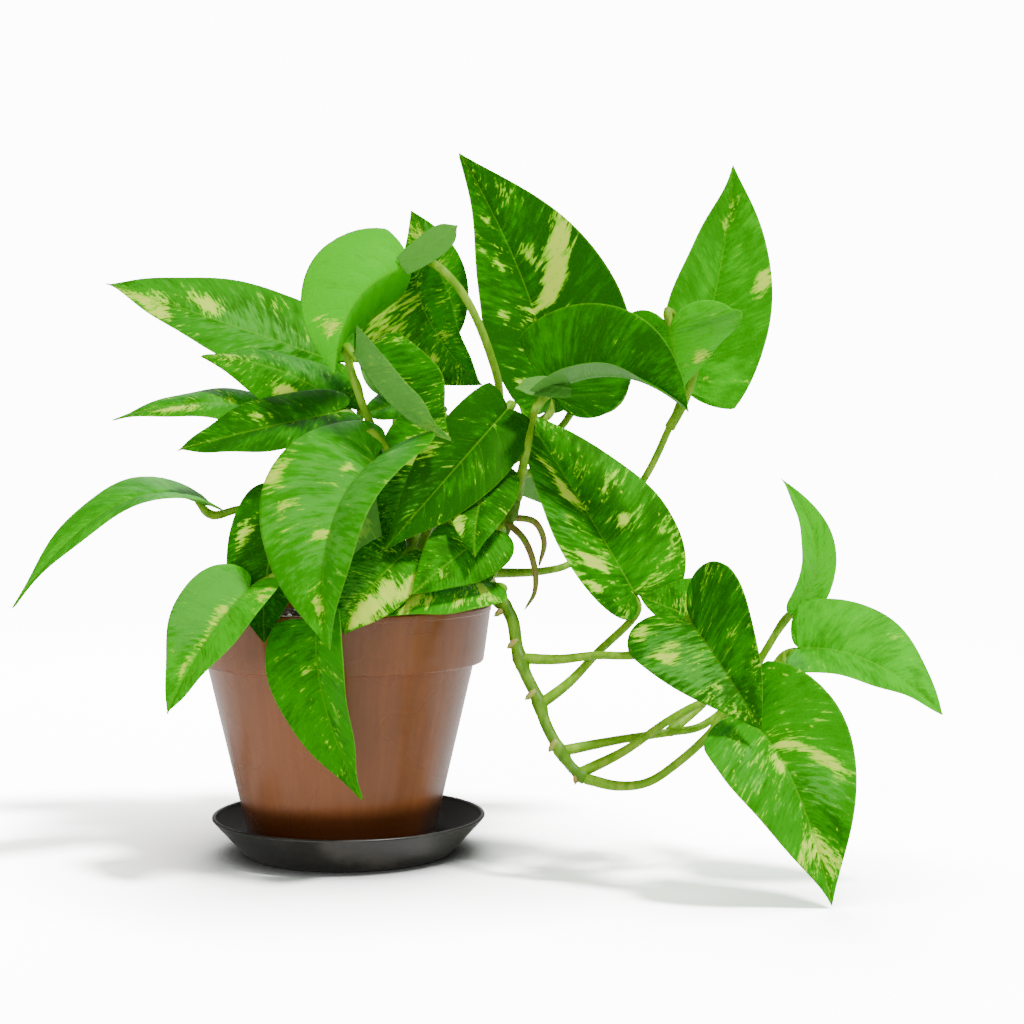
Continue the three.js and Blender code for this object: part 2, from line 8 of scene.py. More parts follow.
import bmesh
import bpy
import numpy as np
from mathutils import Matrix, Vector


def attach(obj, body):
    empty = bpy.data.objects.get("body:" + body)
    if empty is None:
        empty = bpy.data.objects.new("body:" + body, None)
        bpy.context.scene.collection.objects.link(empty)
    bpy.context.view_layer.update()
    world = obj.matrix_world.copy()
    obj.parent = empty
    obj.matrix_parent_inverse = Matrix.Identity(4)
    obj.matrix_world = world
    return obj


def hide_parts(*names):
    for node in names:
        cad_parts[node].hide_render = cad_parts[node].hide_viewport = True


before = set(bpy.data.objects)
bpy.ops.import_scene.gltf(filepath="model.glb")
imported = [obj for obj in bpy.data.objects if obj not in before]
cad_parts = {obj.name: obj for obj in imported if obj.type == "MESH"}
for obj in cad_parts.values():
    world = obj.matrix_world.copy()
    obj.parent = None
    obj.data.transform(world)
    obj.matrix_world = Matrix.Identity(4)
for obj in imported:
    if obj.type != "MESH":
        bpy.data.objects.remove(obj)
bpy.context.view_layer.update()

MM = 0.001
BODY = "root"

# ---- leaves

# A blade is a grid. Its first rows lie in the basal lobes, every whole row number is a side
# vein, and the columns go from the midrib at 0 to the margin at 1.
LOBE_ROWS = 3
BLADE_ROWS = 6
ALL_ROWS = LOBE_ROWS + BLADE_ROWS
STEPS_BETWEEN_VEINS = 6
COLUMNS = (0, 0.03, 0.08, 0.16, 0.27, 0.4, 0.54, 0.68, 0.8, 0.9, 0.965, 1)
VEIN_SWEEP = 1.25

# Half the outline, as handles of two cubic curves that meet where the blade is widest: each
# is a place along the midrib and a half width, in shares of the length and of the width.
REAR_HANDLES = [(0, 0), (-0.2, 0.1), (-0.14, 0.5)]
LOBE_START = 0.1
SHOULDER = 0.34
TIP_HANDLES = [(0.85, 0.14), (1, 0)]

# Each leaf: base, middle and tip of its midrib and the way its upper face looks, as x, y and
# z each, its width, the fold of its left and right half and the curl of its margins in
# degrees, the size of its basal lobes, and where along the midrib it is widest.
LEAVES = {
    1: (-4, 25, 204, -53, 20, 221, -98, 8, 236, -0.05, -0.8, 0.6, 54, 28, 0, -10, 1, 0.3),
    2: (31, -34, 240, 10, -46, 225, 2, -50, 196, 0.25, -0.9, 0.35, 51, -60, 0, -30, 0.2, 0.32),
    3: (37, 6, 217, 37, 9, 243, 29, 4, 266, 0.1, -1, 0, 30, 12, 12, -10, 1, 0.28),
    4: (31, -12, 240, 40, -16, 215, 59, -20, 193, -0.1, -1, 0.15, 60, 70, 5, -10, 1, 0.24),
    5: (10, -46, 205, 27, -60, 183, 48, -67, 171, 0.55, -0.35, 0.75, 46, 60, 50, 0, 0, 0.42),
    6: (2, -6, 185, -26, -8, 200, -56, -10, 205, -0.1, -0.85, 0.5, 36, 0, -30, -10, 1, 0.24),
    7: (-30, -8, 182, -56, -14, 186, -90, -22, 179, -0.2, -0.6, 0.8, 25, 10, 5, -20, 1, 0.24),
    8: (1, -28, 182, -30, -38, 175, -60, -45, 167, 0, -0.6, 0.8, 36, 10, 10, -10, 1, 0.3),
    9: (19, -64, 164, 3, -84, 137, 4, -95, 94, -0.15, -0.95, 0.3, 72, 62, -4, -24, 1.9, 0.22),
    10: (-18, -44, 147, -24, -54, 119, -24, -63, 93, -0.2, -1, 0.1, 36, 10, 10, -10, 0.8, 0.26),
    11: (-3, -70, 102, 0, -74, 72, 13, -60, 32, -0.2, -1, 0.05, 42, 52, 0, -10, 0.3, 0.28),
    12: (-29, -66, 115, -44, -76, 96, -59, -78, 68, -0.35, -0.9, 0.2, 46, 42, 0, -10, 1, 0.24),
    13: (-52, -30, 146, -84, -50, 145, -120, -66, 107, -0.2, -0.45, 0.85,
        38, 20, 5, -10, 0.6, 0.26),
    14: (88, 20, 189, 76, 24, 237, 49, 8, 290, 0.1, -1, 0.1, 78, 52, 6, -12, 1, 0.28),
    15: (85, -36, 190, 113, -46, 196, 139, -58, 182, 0, -0.7, 0.7, 58, 45, 54, -6, 0.1, 0.26),
    16: (119, -44, 111, 99, -34, 145, 74, -14, 185, 0.1, -0.95, 0.3, 60, 50, 2, -12, 1.1, 0.28),
    17: (139, -72, 102, 149, -92, 87, 162, -104, 66, -0.53, -0.8, 0.28, 54, 18, 38, -10, 2, 0.05),
    18: (150, -43, 97, 136, -49, 104, 121, -49, 110, 0, -0.6, 0.8, 34, 5, 35, -6, 1, 0.24),
    19: (155, -88, 69, 173, -98, 48, 188, -103, 1, -0.15, -0.95, 0.25, 57, 2, 46, -10, 0.6, 0.3),
    20: (181, -62, 91, 207, -72, 87, 233, -80, 68, 0.05, -0.9, 0.45, 46, 0, 48, -10, 0.5, 0.28),
    21: (182, -48, 104, 190, -44, 129, 177, -40, 156, 0.4, -0.9, 0.1, 17, 25, 25, -10, 0.4, 0.35),
    22: (145, 16, 191, 158, 20, 239, 163, 8, 285, 0.1, -1, 0.1, 52, 44, 6, -12, 0.2, 0.3),
    23: (134, -24, 216, 137, -18, 205, 141, -6, 192, 0.1, -0.95, 0.3, 62, 8, -58, -6, 3, 0.2),
    24: (69, -36, 183, 48, -54, 159, 22, -68, 129, 0.1, -0.75, 0.6, 35, 5, 50, -10, 0.3, 0.36),
    25: (42, -38, 176, 33, -45, 152, 21, -54, 129, 0.1, -0.95, 0.3, 38, 5, 5, -10, 0.8, 0.26),
    26: (29, -60, 127, 15, -74, 112, 8, -79, 98, 0.2, -0.8, 0.5, 27, 5, 5, -10, 1, 0.26),
    27: (62, -54, 116, 38, -63, 113, 14, -67, 104, 0.1, -0.65, 0.7, 36, 20, 0, -10, 0.7, 0.26),
    28: (64, -48, 159, 58, -61, 144, 57, -75, 127, -0.1, -0.95, 0.3, 26, 5, 5, -10, 1, 0.26),
    29: (63, -55, 136, 49, -66, 126, 33, -77, 113, 0.1, -0.85, 0.5, 30, 5, 5, -10, 1, 0.26),
    30: (21, 30, 164, 0, 62, 140, -15, 78, 100, -0.3, 0.9, 0.3, 52, 5, 5, -20, 1, 0.26),
    31: (43, 30, 179, 48, 62, 148, 49, 84, 109, 0.2, 0.95, 0.3, 46, 5, 5, -20, 1, 0.26),
    32: (98, 44, 188, 97, 56, 219, 90, 60, 259, 0.1, 1, 0.2, 50, 10, 10, -15, 1, 0.26),
    33: (24, 31, 196, 24, 47, 223, 27, 54, 249, -0.1, 1, 0.3, 38, 10, 10, -15, 1, 0.26),
    34: (-8, 40, 184, -24, 52, 200, -39, 56, 219, -0.3, 0.8, 0.6, 40, 10, 10, -15, 1, 0.26),
    35: (80, 30, 158, 101, 50, 146, 119, 66, 120, 0.3, 0.8, 0.5, 40, 10, 10, -15, 1, 0.26),
    36: (36, -14, 187, 24, -23, 185, 9, -26, 180, 0.1, -0.5, 0.9, 30, 10, 10, -15, 1, 0.26),
}

# Basal lobes that have turned over, in rows like those of the leaves that they are part of.
TURNED_LOBES = {
    2: (27.5, -36.5, 239.5, 41, -44, 248, 50, -48, 254.5, 0.1, 1, 0.1, 11, 0, 0, 0, 0, 0.5),
    15: (94, -42, 191, 83, -45, 192, 72, -47, 191, 0.1, 0.7, -0.7, 12, 0, 0, 0, 0, 0.5),
}

# How each leaf is coloured: its tone from 0 (old, dark) to 1 (young, lime), how much of it
# is flecked, and its patches as (row, place across from -1 on the right margin to 1 on the
# left one, half length in rows, half width, strength): cream over 0, and under 0 greyish
# green that is partly the leaf's own variegation and partly painted sheen.
LOOKS = {
    1: (0.42, 0.3, [
        (7.7, 0.4, 0.7, 0.6, 1), (5.7, -0.35, 0.4, 0.25, 1), (3.3, -0.7, 0.3, 0.2, 0.7),
        (6.6, 0.8, 0.4, 0.25, 0.9), (4.4, 0, 2, 0.7, -0.8)]),
    2: (1.1, 0.0, [(6.8, -0.35, 0.4, 0.3, 0.9), (6.3, -0.75, 0.3, 0.15, 0.7)]),
    3: (0.55, 0.6, [
        (3.3, 0.55, 0.9, 0.3, 0.8), (7.2, 0.4, 0.8, 0.5, 0.6), (7, -0.5, 1.5, 0.4, -0.8)]),
    4: (0.35, 0.5, [
        (5.8, 0.3, 0.25, 0.35, 0.8), (3.3, -0.45, 0.9, 0.4, 0.7), (6.5, -0.5, 0.5, 0.3, 0.5)]),
    5: (0.2, 0.7, [
        (7.3, -0.35, 0.8, 0.4, 0.5), (5.5, -0.5, 2.5, 0.6, -1.6), (8.6, 0, 0.4, 0.8, 0.8)]),
    6: (0.4, 0.5, [(4.4, 0.45, 0.5, 0.2, 0.9), (7, -0.2, 0.9, 0.5, 0.5), (4, -0.4, 1, 0.4, -0.7)]),
    7: (0.5, 0.5, [(6, 0.5, 0.9, 0.3, 0.7), (4.6, 0, 0.4, 0.4, -1), (3.9, -0.5, 0.3, 0.3, 0.5)]),
    8: (0.15, 0.3, [(4.8, -0.45, 0.3, 0.12, 0.6)]),
    9: (0.68, 0.2, [
        (2.9, -0.15, 0.25, 0.08, 0.9), (3.7, -0.2, 0.12, 0.1, 0.8), (5.6, -0.1, 0.25, 0.12, 1),
        (7.6, -0.3, 0.5, 0.2, 0.8), (3.3, -0.88, 0.45, 0.15, 0.9), (5.2, -0.75, 0.25, 0.08, 0.7),
        (4.3, -0.62, 0.15, 0.1, 0.6), (4, 0, 3, 1, -1)]),
    10: (0.15, 0.2, [(3.2, -0.7, 0.7, 0.15, 0.7)]),
    11: (0.45, 0.35, [
        (6.8, -0.35, 0.2, 0.15, 0.6), (4, -0.3, 0.15, 0.1, 0.5), (4.2, 0.2, 1, 0.15, -0.6)]),
    12: (0.85, 0.3, [
        (4.8, -0.08, 1.5, 0.09, 0.8), (6.9, -0.25, 0.4, 0.12, 0.9), (3.6, -0.5, 2, 0.5, -2),
        (2.6, 0.6, 0.35, 0.35, 0.5)]),
    13: (0.7, 0.05, [(4, 0, 3, 0.8, -0.5)]),
    14: (0.15, 0.45, [
        (4.75, -0.25, 0.2, 0.2, 1), (5.1, -0.5, 0.25, 0.2, 1.1), (5.5, -0.78, 0.25, 0.2, 1.1),
        (4.2, 0.65, 0.25, 0.1, 0.9), (4.7, 0.1, 0.1, 0.3, 0.7), (7.1, 0.5, 0.12, 0.2, 0.8),
        (5.9, -0.25, 0.3, 0.06, 0.7), (7.2, -0.7, 0.3, 0.25, 0.5), (2.2, 0.6, 0.12, 0.2, 0.5)]),
    15: (0.2, 0.0, [(4.8, 0.5, 0.3, 0.12, 0.5), (4.5, -0.4, 2.2, 0.5, -0.8)]),
    16: (0.3, 0.6, [
        (3.1, 0.55, 0.22, 0.32, 1), (5.8, 0.35, 0.35, 0.2, 1), (6.5, 0.6, 0.2, 0.2, 0.7),
        (4.1, -0.4, 0.3, 0.12, 1), (2.5, 0.85, 0.2, 0.1, 0.6), (4.6, 0.8, 1, 0.3, -0.4)]),
    17: (0.22, 0.6, [
        (4, -0.65, 0.4, 0.12, 1), (3.3, -0.45, 0.2, 0.1, 0.6), (4.5, -0.5, 2.5, 0.45, -0.9),
        (6.2, -0.4, 0.2, 0.1, 0.8), (2.2, -0.8, 0.5, 0.1, 0.7)]),
    18: (0.3, 0.4, [(4.6, -0.35, 0.3, 0.35, 0.8), (5.6, 0.3, 0.2, 0.3, 0.5)]),
    19: (0.5, 0.5, [
        (4.35, 0.25, 0.14, 0.2, 1), (4.7, 0.47, 0.14, 0.2, 1), (5, 0.7, 0.14, 0.2, 1),
        (4.8, -0.1, 0.4, 0.07, 0.8), (7.7, 0.4, 0.35, 0.6, 0.7), (7.3, -0.6, 0.5, 0.3, 0.6),
        (5.6, 0.4, 1, 0.6, -0.6), (3.5, -0.6, 1.5, 0.3, -0.6)]),
    20: (0.85, 0.0, [
        (3.6, -0.4, 0.15, 0.15, 0.6), (5.2, 0.8, 0.3, 0.2, 0.5), (3.8, 0.7, 0.3, 0.15, 0.5)]),
    21: (0.95, 0.0, [(3.8, 0.1, 1.4, 0.8, -0.8)]),
    22: (0.65, 0.2, [
        (4.7, -0.85, 0.35, 0.17, 1.1), (7.6, -0.35, 0.3, 0.4, 0.7), (6.9, 0.3, 0.2, 0.2, 0.5)]),
    23: (0.9, 0.15, [(6.3, 0.6, 0.6, 0.3, 0.9), (3, 0.6, 1.6, 0.5, -0.9)]),
    24: (0.05, 0.2, [(4.6, -0.85, 0.6, 0.15, 0.8), (6.3, -0.5, 1.5, 0.4, -0.5)]),
    25: (0.3, 0.5, [
        (2.8, -0.1, 0.6, 0.25, 1.1), (3.8, -0.4, 0.5, 0.2, 0.8), (6, -0.5, 2, 0.4, -0.8)]),
    26: (0.3, 0.5, [
        (2.8, 0.85, 0.7, 0.2, 1), (3.8, 0.5, 0.5, 0.25, 0.7), (5.5, 0.5, 1.2, 0.35, 1),
        (7.2, 0.4, 1, 0.4, 1), (5, -0.5, 2.5, 0.4, -0.8)]),
    27: (0.55, 0.6, [
        (6.2, 0.2, 0.45, 0.6, 1), (5.2, 0.6, 0.15, 0.3, 0.8), (2.6, 0.4, 0.25, 0.4, 0.8),
        (3.6, 0.7, 0.3, 0.2, 0.6), (7.4, 0.5, 0.3, 0.4, 0.8)]),
    28: (0.15, 0.4, [(5.8, -0.8, 0.7, 0.22, 1), (4, -0.4, 1, 0.4, -0.4)]),
    29: (0.3, 0.3, [(2.8, -0.85, 0.6, 0.25, 0.9), (6.8, 0.1, 0.15, 0.3, 0.5)]),
    30: (0.4, 0.4, [(4.5, 0.4, 0.4, 0.3, 1), (6, -0.5, 0.5, 0.2, 0.8), (4, -0.3, 1, 0.3, -0.6)]),
    31: (0.3, 0.5, [
        (3.5, -0.6, 0.5, 0.25, 1), (5.5, 0.5, 0.3, 0.3, 0.8), (7, -0.2, 0.4, 0.3, 0.7)]),
    32: (0.45, 0.4, [(4, 0.5, 0.3, 0.3, 0.9), (5.3, -0.4, 0.5, 0.2, 1), (6.8, 0.5, 0.4, 0.2, 0.6)]),
    33: (0.6, 0.3, [(5, 0.3, 0.4, 0.3, 0.8), (3.2, -0.5, 0.4, 0.2, 0.7)]),
    34: (0.6, 0.4, [
        (6, 0.5, 0.6, 0.3, 0.9), (3.5, -0.2, 0.3, 0.3, 0.6), (4.6, -0.6, 1, 0.3, -0.6)]),
    35: (0.35, 0.4, [(3.6, 0.5, 0.4, 0.25, 0.9), (6.2, -0.3, 0.4, 0.3, 0.7)]),
    36: (0.15, 0.2, [(4, 0.4, 0.3, 0.2, 0.5)]),
}


def bezier(points, q):
    """The points of a cubic curve in the plane at the parameters q."""
    p = 1 - q
    weights = (p ** 3, 3 * p * p * q, 3 * p * q * q, q ** 3)
    return [sum(w * point[axis] for w, point in zip(weights, points)) for axis in (0, 1)]


def blade_rows(lobe, peak):
    """Rows of a half blade: place on the midrib, place along the leaf, half width, row number."""
    row = np.linspace(0, ALL_ROWS, ALL_ROWS * STEPS_BETWEEN_VEINS + 1)
    widest = (peak, 0.5)
    q_rear = LOBE_START + (1 - LOBE_START) * np.minimum(row / LOBE_ROWS, 1)
    along_rear, across_rear = bezier(REAR_HANDLES + [widest], q_rear)
    along_rear = np.where(along_rear < 0, along_rear * lobe, along_rear)
    front = [widest, (peak + SHOULDER, 0.5)] + TIP_HANDLES
    along_front, across_front = bezier(front, np.maximum(row - LOBE_ROWS, 0) / BLADE_ROWS)
    behind = row < LOBE_ROWS
    along = np.where(behind, along_rear, along_front)
    across = np.where(behind, across_rear, across_front)
    first = LOBE_ROWS - 1
    on_rib = np.maximum(0, (row - first) / (ALL_ROWS - first))
    return on_rib, along, across, row


def unit(v):
    return v / np.linalg.norm(v, axis=-1, keepdims=True)


class Blade:
    """The curved surface of one leaf."""

    def __init__(self, leaf):
        base, middle, tip, face = np.array(leaf[:12], float).reshape(4, 3)
        self.width, self.fold_left, self.fold_right, self.curl, self.lobe, self.peak = leaf[12:]
        self.base, self.tip, self.face = base, tip, face
        self.control = 2 * middle - (base + tip) / 2
        self.start = 2 * (self.control - base)
        self.end = 2 * (tip - self.control)

    def rib(self, t):
        """Points of the midrib, which runs on straight behind its base."""
        t = np.asarray(t, float)[..., None]
        onward = self.base + (self.control - self.base) * t
        later = self.control + (self.tip - self.control) * t
        return np.where(t < 0, self.base + self.start * t, onward + (later - onward) * t)

    def along(self, t):
        t = np.maximum(0, np.asarray(t, float))[..., None]
        return unit(self.start + (self.end - self.start) * t)

    def sideways(self, t):
        return unit(np.cross(self.face, self.along(t)))

    def upward(self, t):
        return unit(np.cross(self.along(t), self.sideways(t)))

    def point(self, on_rib, along, across, side, share):
        """The point at a share of the way from the midrib to the margin, on one side."""
        place = on_rib + (along - on_rib) * share ** VEIN_SWEEP
        fold = np.where(side > 0, self.fold_left, self.fold_right)
        angle = np.radians(fold + 0.5 * self.curl * share)
        reach = across * share * self.width
        out = self.sideways(place) * (side * reach * np.cos(angle))[..., None]
        return self.rib(place) + out + self.upward(place) * (reach * np.sin(angle))[..., None]

    def stalk_end(self):
        """The last two points of the stalk: before the base, and just past it under the midrib."""
        lean = math.radians((self.fold_left - self.fold_right) / 2)
        opening = math.radians(90 + min(0, self.fold_left + self.fold_right) / 2)
        below = self.sideways(0) * math.sin(lean) - self.upward(0) * math.cos(lean)
        deep = STALK_DEPTH / math.sin(opening)
        end = self.base + self.along(0) * STALK_UNDER_BLADE + below * deep
        before = self.base - self.along(0) * STALK_RUN_UP + below * (deep + STALK_DROP)
        return [before, end]


# The relief of a blade in millimetres. It is weaker on leaves narrower than FULL_RELIEF_WIDTH.
BLADE_THICKNESS = 0.5
MARGIN_THICKNESS = 0.22
RIB_DEPTH = 1.1
RIB_TAPER = 0.6
GROOVE_DEPTH = 0.35
GROOVE_WIDTH = 0.9
GROOVE_TAPER = 0.7
QUILT_HEIGHT = 0.32
QUILT_ROUNDNESS = 0.8
QUILT_TAPER = 0.4
QUILT_FROM_RIB = 5
QUILT_FROM_MARGIN = 3
MARGIN_WAVE = 0.5
HALF_WAVES = 4.4
FULL_RELIEF_WIDTH = 30


def leaf_grid(blade):
    """Points of the middle sheet, where each lies in the leaf, and their numbers in a grid."""
    on_rib, along, across, row = blade_rows(blade.lobe, blade.peak)
    shares = np.array([-c for c in COLUMNS[:0:-1]] + list(COLUMNS))
    numbers = np.zeros((len(row), len(shares)), int)
    # point 0 is the base and point 1 the tip, where whole rows and columns come together
    points, places = [blade.rib(0), blade.rib(1)], [(0, 0, 0, 0), (1, 0, 0, row[-1])]
    for r in range(len(row)):
        for c, share in enumerate(shares):
            if r == len(row) - 1:
                numbers[r, c] = 1
            elif share == 0 and on_rib[r] == 0:
                numbers[r, c] = 0
            else:
                side = 1.0 if share > 0 else -1.0
                numbers[r, c] = len(points)
                points.append(blade.point(on_rib[r], along[r], across[r], side, abs(share)))
                places.append((on_rib[r], share, abs(share) * across[r] * blade.width, row[r]))
    return np.array(points), np.array(places), numbers


def grid_faces(numbers):
    faces = []
    for r in range(numbers.shape[0] - 1):
        for c in range(numbers.shape[1] - 1):
            ring = [numbers[r, c], numbers[r + 1, c], numbers[r + 1, c + 1], numbers[r, c + 1]]
            face = [k for i, k in enumerate(ring) if k != ring[i - 1]]
            if len(set(face)) >= 3:
                faces.append(face)
    return faces


def sheet_normals(points, faces):
    normals = np.zeros_like(points)
    for face in faces:
        a, b, c, d = (points[face[k % len(face)]] for k in (0, 1, 2, 3))
        normal = np.cross(c - a, d - b) if len(face) == 4 else np.cross(b - a, c - a)
        for k in face:
            normals[k] += normal
    return unit(normals)


def dress_blade(leaf, rng):
    """A blade with its thickness, groove, rib, quilting and waved margin."""
    blade = Blade(leaf)
    points, places, numbers = leaf_grid(blade)
    faces = grid_faces(numbers)
    u, v, off_rib, row = places.T
    share = np.abs(v)
    normals = sheet_normals(points, faces)
    if (normals * blade.upward(u)).sum() < 0:
        faces = [face[::-1] for face in faces]
        normals = -normals
    small = min(1, blade.width / FULL_RELIEF_WIDTH)
    turn = HALF_WAVES * math.pi * u + rng.uniform(0, 2 * math.pi) + 2 * np.sign(v)
    wave = small * MARGIN_WAVE * share ** 3 * np.sin(turn)
    quilt = small * QUILT_HEIGHT * np.abs(np.sin(math.pi * row)) ** QUILT_ROUNDNESS
    quilt *= np.minimum(1, share * QUILT_FROM_RIB) * np.minimum(1, (1 - share) * QUILT_FROM_MARGIN)
    quilt *= (1 - u) ** QUILT_TAPER
    groove = small * np.exp(-(off_rib / GROOVE_WIDTH) ** 2) * (1 - GROOVE_TAPER * u)
    thick = MARGIN_THICKNESS + (BLADE_THICKNESS - MARGIN_THICKNESS) * (1 - share ** 4)
    above = wave + quilt + thick / 2 - GROOVE_DEPTH * groove
    below = wave + quilt - thick / 2 - RIB_DEPTH * groove * (1 - RIB_TAPER * u)
    top, low = (points + normals * height[:, None] for height in (above, below))
    count = len(points)
    edges = {(a, b) for face in faces for a, b in zip(face, face[1:] + face[:1])}
    walls = [[b, a, a + count, b + count] for a, b in sorted(edges) if (b, a) not in edges]
    under = [[k + count for k in reversed(face)] for face in faces]
    return np.vstack([top, low]), faces + under + walls, places


PATCH_FALL = 0.7
MOST_CREAM = 1.2
SEED_RANGE = 50


def patch_strength(patch, row, v):
    at_row, at_v, half_rows, half_width, strength = patch
    reach = ((row - at_row) / half_rows) ** 2 + ((v - at_v) / half_width) ** 2
    return strength * np.exp(-PATCH_FALL * reach)


def make_leaf(number, material):
    """A leaf's blade, with its patches, its looks and its place in the leaf for its material."""
    name = f"leaf_{number:02d}"
    tone, flecks, patches = LOOKS[number]
    rng = random.Random(name)
    seed = rng.uniform(0, SEED_RANGE)
    points, faces, told = [], [], {"blade": [], "look": [], "lie": []}
    for rows in [table[number] for table in (LEAVES, TURNED_LOBES) if number in table]:
        some_points, some_faces, places = dress_blade(rows, rng)
        first = sum(len(p) for p in points)
        points.append(some_points)
        faces += [[k + first for k in face] for face in some_faces]
        v, off_rib, row = places.T[1:]
        none = np.zeros(len(v))
        placed = patches if rows is LEAVES[number] else []
        marks = [(patch[-1], patch_strength(patch, row, v)) for patch in placed]
        cream = np.minimum(sum((mark for sign, mark in marks if sign > 0), none), MOST_CREAM)
        # patches under 0 are greyish green: partly the leaf's own variegation, partly painted sheen
        grey_and_sheen = -sum((mark for sign, mark in marks if sign < 0), none)
        for side in (1, 0):
            told["blade"].append((grey_and_sheen, v, none + seed))
            told["look"].append((none + tone, cream, none + flecks))
            told["lie"].append((off_rib, row / ALL_ROWS, none + side))
    mesh = mesh_of(name + "_blade", np.vstack(points) * MM, faces)
    for layer, values in told.items():
        add_vectors(mesh, layer, np.hstack(values).T)
    take(link(name + "_blade", mesh), material, name)


# ---- mesh helpers

def mesh_of(name, points, faces, smooth=True):
    mesh = bpy.data.meshes.new(name)
    mesh.from_pydata([tuple(p) for p in points], [], [tuple(int(k) for k in f) for f in faces])
    mesh.update()
    if smooth:
        mesh.polygons.foreach_set("use_smooth", [True] * len(mesh.polygons))
    return mesh


def add_vectors(mesh, name, values):
    layer = mesh.attributes.new(name, "FLOAT_VECTOR", "POINT")
    layer.data.foreach_set("vector", np.asarray(values, np.float32).ravel())


def link(name, data):
    piece = bpy.data.objects.new(name, data)
    bpy.context.scene.collection.objects.link(piece)
    return piece


def take(piece, material, node):
    """Lets a piece ride on the plant, stand for its CAD node and fill a material slot."""
    piece.data.materials.append(material)
    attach(piece, BODY)
    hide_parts(node)


def bridge(rings):
    """Faces from each ring of points to the next. A ring of one point closes an end."""
    faces = []
    for low, high in zip(rings, rings[1:]):
        sides = max(len(low), len(high))
        for k in range(sides):
            n = (k + 1) % sides
            start = [low[k], low[n]] if len(low) > 1 else low
            faces.append(start + ([high[n], high[k]] if len(high) > 1 else high))
    return faces


def lathe(name, profile, sides, offset_x=0.0):
    """A closed turned shape from (radius, height) pairs that start and end on the axis."""
    points, rings = [], []
    for radius, height in profile:
        count = sides if radius else 1
        rings.append([len(points) + k for k in range(count)])
        for k in range(count):
            angle = 2 * math.pi * k / sides
            points.append((offset_x + radius * math.cos(angle), radius * math.sin(angle), height))
    return link(name, mesh_of(name, np.array(points) * MM, bridge(rings)))


def arc(centre, radius, start, stop, steps):
    """Profile points on a round corner, in degrees."""
    angles = [math.radians(start + (stop - start) * k / steps) for k in range(steps + 1)]
    return [(centre[0] + radius * math.cos(a), centre[1] + radius * math.sin(a)) for a in angles]


# ---- stems

STEM_RADIUS = 2.7
STEM_TAPER = 0.25
NODE_SWELL = 0.7
NODE_LENGTH = 2.6
SCAR_HEIGHT = 0.22
SCAR_LENGTH = 0.5
SCAR_PAST_NODE = 3.2
STALK_RADIUS = 1.75
STALK_SLIMNESS = 0.94
STALK_DEPTH = 1.0
STALK_UNDER_BLADE = 3
STALK_RUN_UP = 6
STALK_DROP = 2
ROOT_RADIUS = 1.5
ROOT_TAPER = 0.2
LEAST_POINT = 0.02
BUD_POINT = 0.35
BUD_SWELL = 1.9
ROD_SIDES = 14
ROD_STEP = 1.6
ROD_END = 0.6
ROUTE_STEPS = 24
ASKEW = (0.31, 0.52, 0.79)

# What a rod is, as its material reads it.
TRUNK, STALK, ROOT, SHEATH = 0.0, 1.0, 2.0, 3.0

# Each stem: the line of its trunk from inside the soil, its nodes, the leaves that it carries,
# bare side roots, and pale sheaths and a curled bud.
STEMS = {
    "stem_left": {
        "trunk": [(-12, -4, 72), (-11, -4, 100), (-6, -5, 128), (2, -6, 152)],
        "nodes": [(-8, -5, 122), (-1, -5, 144)],
        "leaves": [1, 6, 7, 8, 13, 34],
    },
    "stem_front": {
        "trunk": [(6, -24, 72), (5, -26, 100), (4, -30, 124)],
        "nodes": [(4, -29, 118), (4, -27, 108)],
        "leaves": [9, 10, 11, 12, 26],
    },
    "stem_centre": {
        "trunk": [(28, 0, 72), (28, 0, 100), (30, -2, 130), (34, -4, 158)],
        "nodes": [(30, -2, 130), (33, -3, 148)],
        "leaves": [2, 3, 4, 5, 25, 33, 36],
    },
    "stem_right": {
        "trunk": [
            (42, -12, 72), (44, -13, 96), (54, -17, 110), (61, -21, 117), (68, -24, 134),
            (73, -29, 148)],
        "nodes": [(61, -21, 117), (71, -27, 142)],
        "leaves": [15, 22, 23, 24, 28],
        "roots": [
            [(69, -26, 138), (76, -30, 131), (80, -31, 120), (80, -30, 110), (76, -29, 103)],
            [(70, -25, 140), (80, -22, 138), (84, -18, 130), (82, -10, 119)],
        ],
    },
    "stem_vine": {
        "trunk": [
            (40, -26, 72), (42, -28, 98), (52, -34, 108), (60, -38, 110), (66, -42, 108),
            (71, -46, 101), (73, -50, 90), (76, -54, 81), (81, -58, 71), (84, -62, 62),
            (89, -66, 53), (94, -68, 46), (99, -70, 42)],
        "nodes": [(66, -42, 108), (75, -52, 86), (82, -59, 69), (90, -66, 52), (98, -70, 43)],
        "leaves": [27, 29, 17, 16, 21, 20, 18, 19],
        "roots": [
            [(68, -44, 105), (64, -47, 102)],
            [(73, -50, 93), (69, -52, 90)],
            [(80, -58, 74), (76, -60, 71)],
            [(88, -66, 56), (85, -68, 52)],
            [(96, -69, 45), (95, -71, 40)],
        ],
        "sheaths": [
            [(56.5, -36, 108), (57, -40, 114), (58.5, -42.5, 121)],
            [(61, -39, 109), (63.5, -43.5, 112), (63.5, -46, 118)],
            [(54, -35, 108), (52, -39, 112), (51, -42, 117)],
        ],
        "buds": [
            [(166.5, -60, 77), (171, -61.5, 81), (175, -62, 85.5), (175.5, -62, 90)],
        ],
    },
    "stem_back": {
        "trunk": [(26, 24, 72), (27, 24, 100), (34, 22, 130), (48, 22, 148)],
        "nodes": [(32, 22, 124), (44, 22, 143)],
        "leaves": [14, 30, 31, 32, 35],
    },
}

